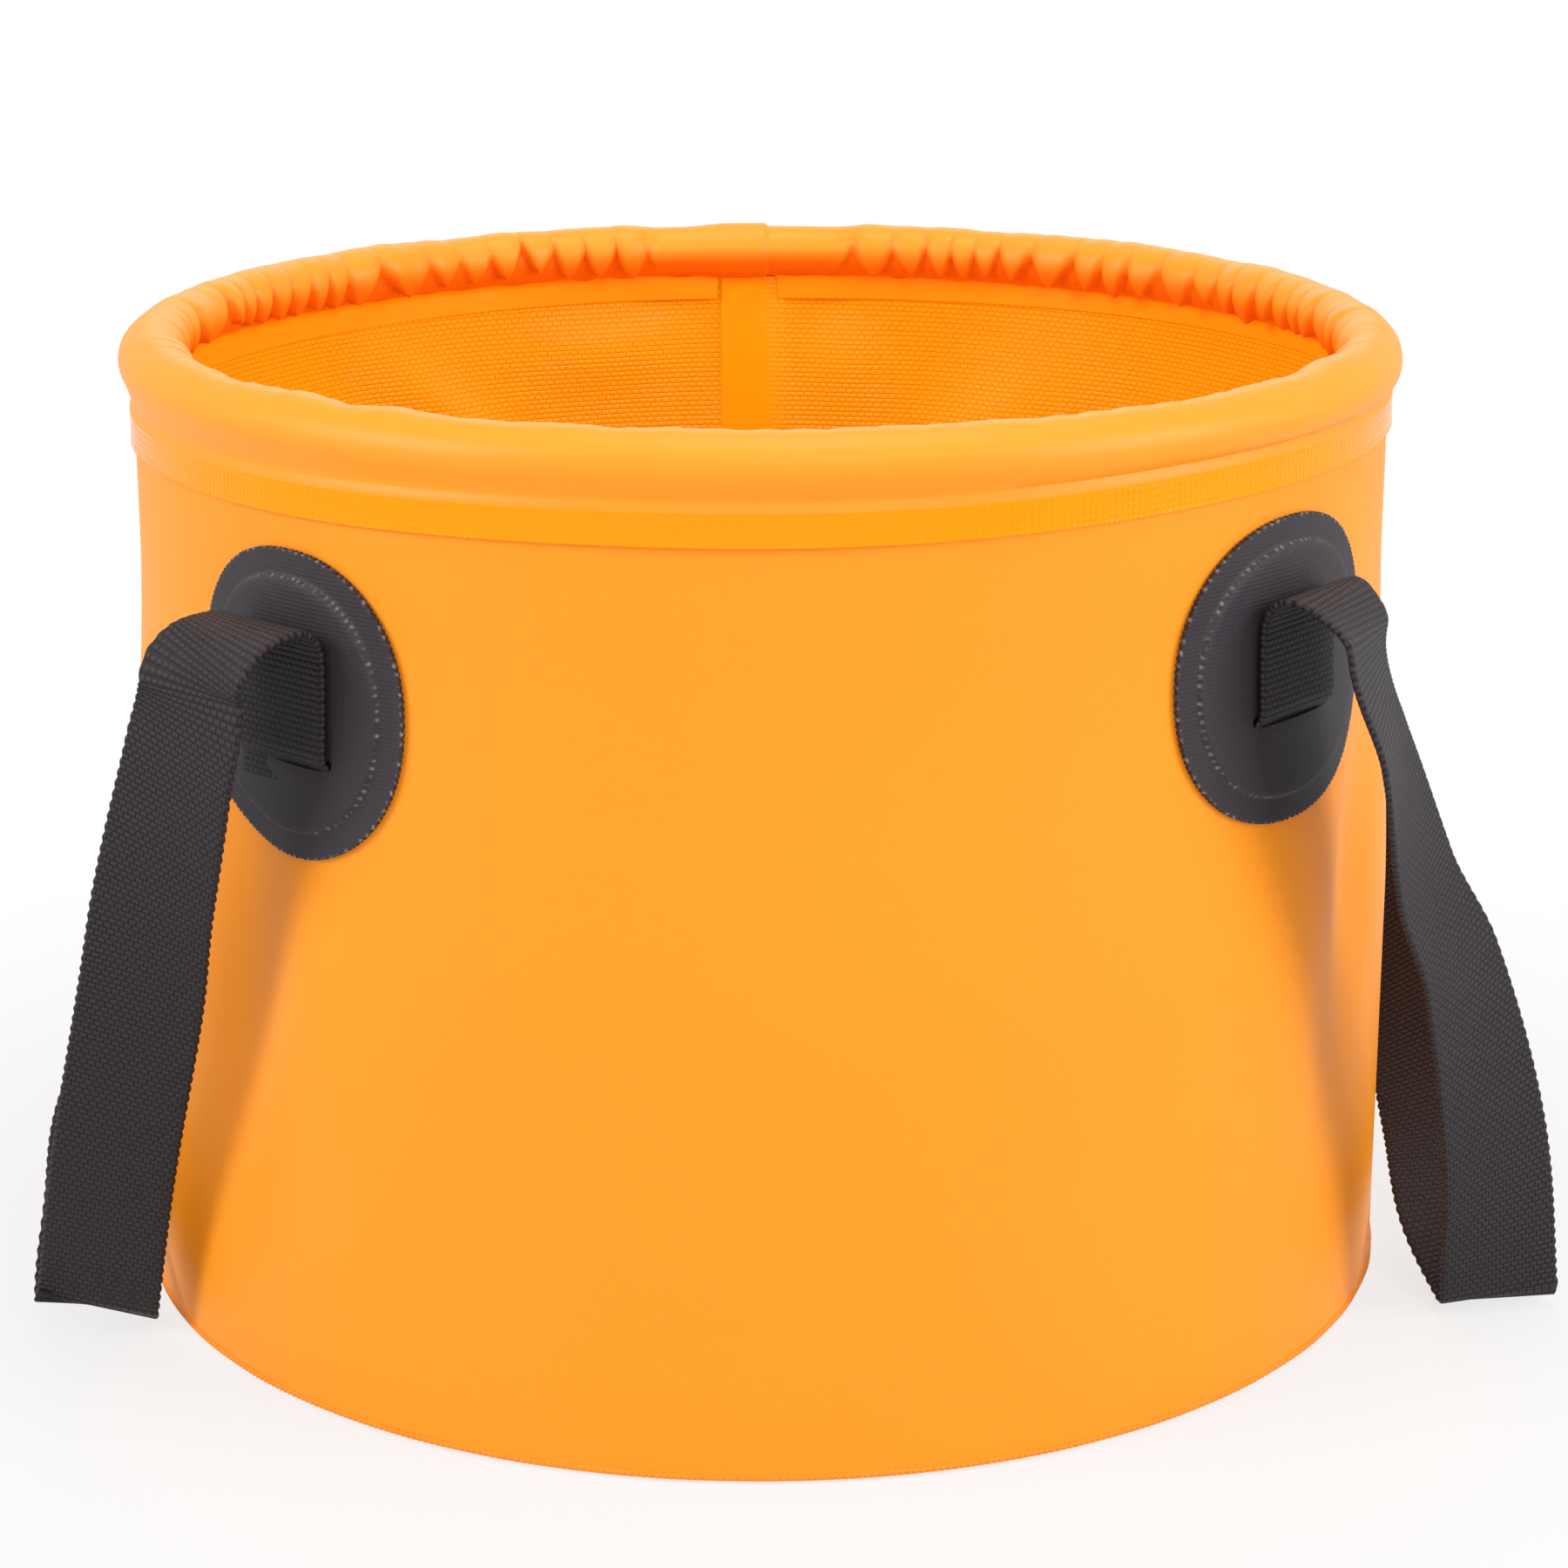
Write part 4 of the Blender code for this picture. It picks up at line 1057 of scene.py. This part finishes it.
# %% Webbing routes
ARCH_SPRING = 0.146
ARCH_RISE = 0.0065
ARCH_REACH = 0.005
ARCH_HEIGHT = ARCH_SPRING + ARCH_RISE
FRONT_OFFSET = PLATEAU + FACING + SEAT + WEBBING / 2
TAIL_OFFSET = PLATEAU + WEBBING * TAIL_SHARE / 2
TAIL_LENGTH = 0.004
FOLD_RADIUS = 0.0013
CURVE_STEP = 0.0006

# Each row: share of the way from front to rear, webbing widths off the wall, share of the
# arch's height, direction of the width in degrees from +X
ROUTES = {
    "right": {
        "arch": ((0.003, 0.50, 0.99, 54), (0.006, 0.70, 0.945, 64)),
        "front": (
            (0.026, 0.82, 0.853, 69), (0.083, 0.81, 0.656, 53),
            (0.125, 0.96, 0.525, 43), (0.186, 1.14, 0.262, 23),
        ),
        "fold": (0.232, 1.165, 0.0135, 5),
        "rear": (
            (0.3, 0.74, 0.09, -14), (0.4, 0.58, 0.16, -34), (0.5, 0.5, 0.25, -48),
            (0.62, 0.48, 0.38, -58), (0.78, 0.56, 0.57, -62), (0.9, 0.72, 0.72, -64),
            (0.975, 0.84, 0.84, -64),
        ),
        "tilt": 0,
        "lift": 0.0058,
        "slot": patch_fit("right")[1],
        "mirror": 1,
        "hinge": (0.115987, 0),
    },
    "left": {
        "arch": ((0.005, 0.68, 0.985, 43), (0.015, 0.86, 0.93, 38)),
        "front": (
            (0.034, 0.84, 0.853, 36), (0.088, 0.72, 0.656, 24),
            (0.122, 0.66, 0.525, 14), (0.192, 0.69, 0.262, 8),
        ),
        "fold": (0.253, 0.71, 0.03, 6),
        "rear": (
            (0.31, 0.56, 0.13, -46), (0.41, 0.41, 0.22, -68), (0.54, 0.33, 0.36, -78),
            (0.72, 0.36, 0.53, -72), (0.88, 0.62, 0.7, -52), (0.972, 0.84, 0.84, -40),
        ),
        "tilt": 13,
        "lift": 0.0030,
        "slot": patch_fit("left")[1],
        "mirror": -1,
        "hinge": (-0.121731, 0),
    },
}


def knot(row):
    """Place and width angle of one row of a route."""
    round_share, off_share, height_share, width_angle = row
    angle = PATCH_ANGLE + round_share * (180 - 2 * PATCH_ANGLE)
    height = height_share * ARCH_HEIGHT
    return around(smooth_drum(height) + off_share * 2 * WEBBING_HALF, angle, height), width_angle


def curve(knots, start_along, end_along):
    """Points of cubic Hermite spans through the knots, and their width angles.

    p = a r^2 (1 + 2s) + b s^2 (1 + 2r) + m L s r^2 - n L s^2 r, where r = 1 - s, L is the
    chord and m and n are the unit slopes, each along the chord of a knot's neighbours.
    """
    places = [place for place, angle in knots]
    slopes = [np.array(start_along, float)]
    slopes += [unit(after - before) for before, after in zip(places, places[2:])]
    slopes.append(np.array(end_along, float))
    points, angles = [], []
    for index in range(len(knots) - 1):
        a, b = places[index], places[index + 1]
        chord = np.linalg.norm(b - a)
        s = np.linspace(0, 1, max(3, int(chord / CURVE_STEP)))[:, None]
        s = s if index == len(knots) - 2 else s[:-1]
        r = 1 - s
        span = a * r * r * (1 + 2 * s) + b * s * s * (1 + 2 * r)
        span += slopes[index] * chord * s * r * r - slopes[index + 1] * chord * s * s * r
        points.append(span)
        angles.append(knots[index][1] * r[:, 0] + knots[index + 1][1] * s[:, 0])
    return np.concatenate(points), np.concatenate(angles)


def arch_knots(route):
    """The arch's own knots, lifted as the arch is."""
    return [(place + (0, 0, route["lift"]), angle) for place, angle in map(knot, route["arch"])]


def tail_and_arch(route):
    """From the tail's end up through the slot, and over the arch to where the webbing hangs."""
    slot_bottom, slot_top = route["slot"] - SLOT_HALF, route["slot"] + SLOT_HALF
    spring = ARCH_SPRING + route["lift"]
    climb = [
        (slot_bottom - TAIL_LENGTH, TAIL_OFFSET), (slot_bottom, TAIL_OFFSET),
        (slot_top, FRONT_OFFSET), ((slot_top + spring) / 2, FRONT_OFFSET),
    ]
    points = [around(smooth_drum(height) + offset, PATCH_ANGLE, height) for height, offset in climb]
    crest = smooth_drum(ARCH_SPRING) + FRONT_OFFSET + ARCH_REACH
    turn = np.linspace(0, np.pi / 2, 12)[:-1]
    arch = around(crest - ARCH_REACH * np.cos(turn), PATCH_ANGLE, spring + ARCH_RISE * np.sin(turn))
    over, angles = curve(
        [(around(crest, PATCH_ANGLE, spring + ARCH_RISE), PATCH_ANGLE), *arch_knots(route)],
        around(1, PATCH_ANGLE, 0), (0, 0, -1),
    )
    points = np.concatenate([np.array(points), arch, over])
    return points, np.concatenate([np.full(len(points) - len(angles), PATCH_ANGLE), angles])


def hanging_loop(route):
    """From the front arch's end down to the crease, round it, and up to the rear arch's end."""
    front_end, front_turn = arch_knots(route)[-1]
    rear_end = front_end * (1, -1, 1)
    fold = knot(route["fold"])
    front_knots = [(front_end, front_turn), *map(knot, route["front"]), fold]
    rear_knots = [fold, *map(knot, route["rear"]), (rear_end, -front_turn)]
    corner = fold[0]
    front, front_angles = curve(front_knots, (0, 0, -1), unit(corner - front_knots[-2][0]))
    rear, rear_angles = curve(rear_knots, unit(rear_knots[1][0] - corner), (0, 0, 1))
    arms = unit(front[-12] - corner), unit(rear[12] - corner)
    half_angle = math.acos(np.clip(arms[0] @ arms[1], -1, 1)) / 2
    reach = FOLD_RADIUS / math.tan(half_angle)
    middle = unit(arms[0] + arms[1])
    side = unit(arms[1] - arms[0])
    centre = corner + middle * FOLD_RADIUS / math.sin(half_angle)
    sweep = np.linspace(-(np.pi / 2 - half_angle), np.pi / 2 - half_angle, 11)[:, None]
    bend = centre + FOLD_RADIUS * (side * np.sin(sweep) - middle * np.cos(sweep))
    keep_front = np.linalg.norm(front - corner, axis=1) > 1.3 * reach
    keep_rear = np.linalg.norm(rear - corner, axis=1) > 1.3 * reach
    points = np.concatenate([front[keep_front], bend, rear[keep_rear]])
    crease_angles = np.full(len(bend), fold[1])
    return points, np.concatenate([front_angles[keep_front], crease_angles, rear_angles[keep_rear]])


# %% [markdown]
# Two more steps make the line smooth. It is sampled again at even steps, and then each point
# takes a weighted mean of its neighbours. The same is done, over a longer stretch, to the
# width angles, so that the twist starts and stops gently.

# %% Even steps and smoothing
def resample(points, values, step):
    """Points and values at even distances along the line."""
    length = distance(points)
    at = np.linspace(0, length[-1], int(round(length[-1] / step)) + 1)
    columns = [np.interp(at, length, points[:, axis]) for axis in range(3)]
    return np.stack(columns, axis=-1), np.interp(at, length, values), at


def soften(values, reach):
    """Mean of the neighbours with bell weights exp(-(n / reach)^2 / 2), the ends held."""
    span = int(3 * reach)
    offsets = np.arange(-span, span + 1)
    weights = np.exp(-((offsets / reach) ** 2) / 2)
    weights /= weights.sum()
    before = 2 * values[0] - values[span:0:-1]
    after = 2 * values[-1] - values[-2 : -span - 2 : -1]
    padded = np.concatenate([before, values, after])
    return np.apply_along_axis(np.convolve, 0, padded, weights, "valid")


FINE_STEP = 0.0003
WIDTH_STEPS = 21
RIB_DEPTH = 0.0001
SCALLOP_PITCH = 0.0024
SCALLOP_SHARE = 0.013


def webbing_frames(route):
    """Middle line, width direction and face direction of a whole handle, at even steps."""
    tail, tail_angles = tail_and_arch(route)
    loop, loop_angles = hanging_loop(route)
    points = np.concatenate([tail, loop[1:], (tail * (1, -1, 1))[-2::-1]])
    angles = np.concatenate([tail_angles, loop_angles[1:], -tail_angles[-2::-1]])
    points, angles, at = resample(points, angles, FINE_STEP)
    points = soften(points, 2.5)
    angles = soften(angles, 12)
    lift = math.radians(route["tilt"]) * (1 - ease(points[:, 2], 0, ARCH_HEIGHT / 2))
    turned = np.radians(angles)
    width = np.stack([np.cos(turned), np.sin(turned), np.sin(lift)], axis=-1)
    along = unit(np.gradient(points, axis=0))
    width = unit(width - along * (width * along).sum(axis=1)[:, None])
    return points, width, np.cross(along, width), at


# %% [markdown]
# The cross-section runs along one face, round a rounded edge and back along the other face.
# Ribs swell the faces by a cosine of the distance along, and the edges are scalloped at every
# second rib, which is what gives webbing its toothed outline. A tail is pressed thin in its
# patch, so that the facing lies almost flat over it.

# %% Webbing grid
def webbing_piece(name, frames, rows, route):
    """A stretch of webbing: middle + width * w + face * t, for a closed loop of (w, t) pairs."""
    points, width, face, at = (part[rows] for part in frames)
    pressed = np.ones(len(points))
    if name.endswith("tail"):
        slot_bottom, slot_top = route["slot"] - SLOT_HALF, route["slot"] + SLOT_HALF
        pressed = TAIL_SHARE + (1 - TAIL_SHARE) * ease(points[:, 2], slot_bottom, slot_top)
    inner_half = WEBBING_HALF - WEBBING / 2
    flat = np.linspace(-inner_half, inner_half, WIDTH_STEPS)
    edge = np.radians((60, 20, -20, -60))
    rounded = inner_half + WEBBING / 2 * np.cos(edge)
    level = np.full(WIDTH_STEPS, 1.0)
    w = np.concatenate([flat, rounded, flat[::-1], -rounded])
    t = np.concatenate([level, np.sin(edge), -level, -np.sin(edge)]) * WEBBING / 2
    rib = -np.cos(TURN * at / RIB_PITCH)[:, None]
    scallop = np.cos(TURN * at / SCALLOP_PITCH)[:, None]
    thick = t * (1 + RIB_DEPTH / WEBBING * (rib - 1)) * pressed[:, None]
    wide = w * (1 + SCALLOP_SHARE * (scallop - 1) * (np.abs(w) > inner_half))
    grid = points[:, None] + width[:, None] * wide[..., None] + face[:, None] * thick[..., None]
    grid[..., 0] *= route["mirror"]
    uv = sheet_uv(at[:, None], np.append(w, w[:1]))
    piece = grid_piece(name, grid, uv, [webbing_black], wrap_columns=True, caps=True)
    return piece


for side, route in ROUTES.items():
    frames = webbing_frames(route)
    height = frames[0][:, 2]
    rise = np.flatnonzero(height > ARCH_SPRING + route["lift"])
    front_cut, rear_cut = rise[0], rise[-1]
    stretches = {
        f"webbing_{side}_front_tail": slice(0, front_cut + 1),
        f"webbing_{side}": slice(front_cut, rear_cut + 1),
        f"webbing_{side}_rear_tail": slice(rear_cut, None),
    }
    front_tail, strap, rear_tail = (
        webbing_piece(name, frames, rows, route) for name, rows in stretches.items()
    )
    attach(front_tail, "rim")
    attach(rear_tail, "rim")
    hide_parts(f"strap_root_{side}_front")
    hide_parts(f"strap_root_{side}_rear")
    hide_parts(f"handle_strap_{side}")
    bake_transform(strap)
    print(f"{side} handle: {frames[3][-1] * 1000:.0f} mm of webbing")

# %% [markdown]
# ## Finish
#
# The view transform is set to Standard, so that colours render as they are written.

# %% Finish
bpy.context.scene.view_settings.view_transform = "Standard"
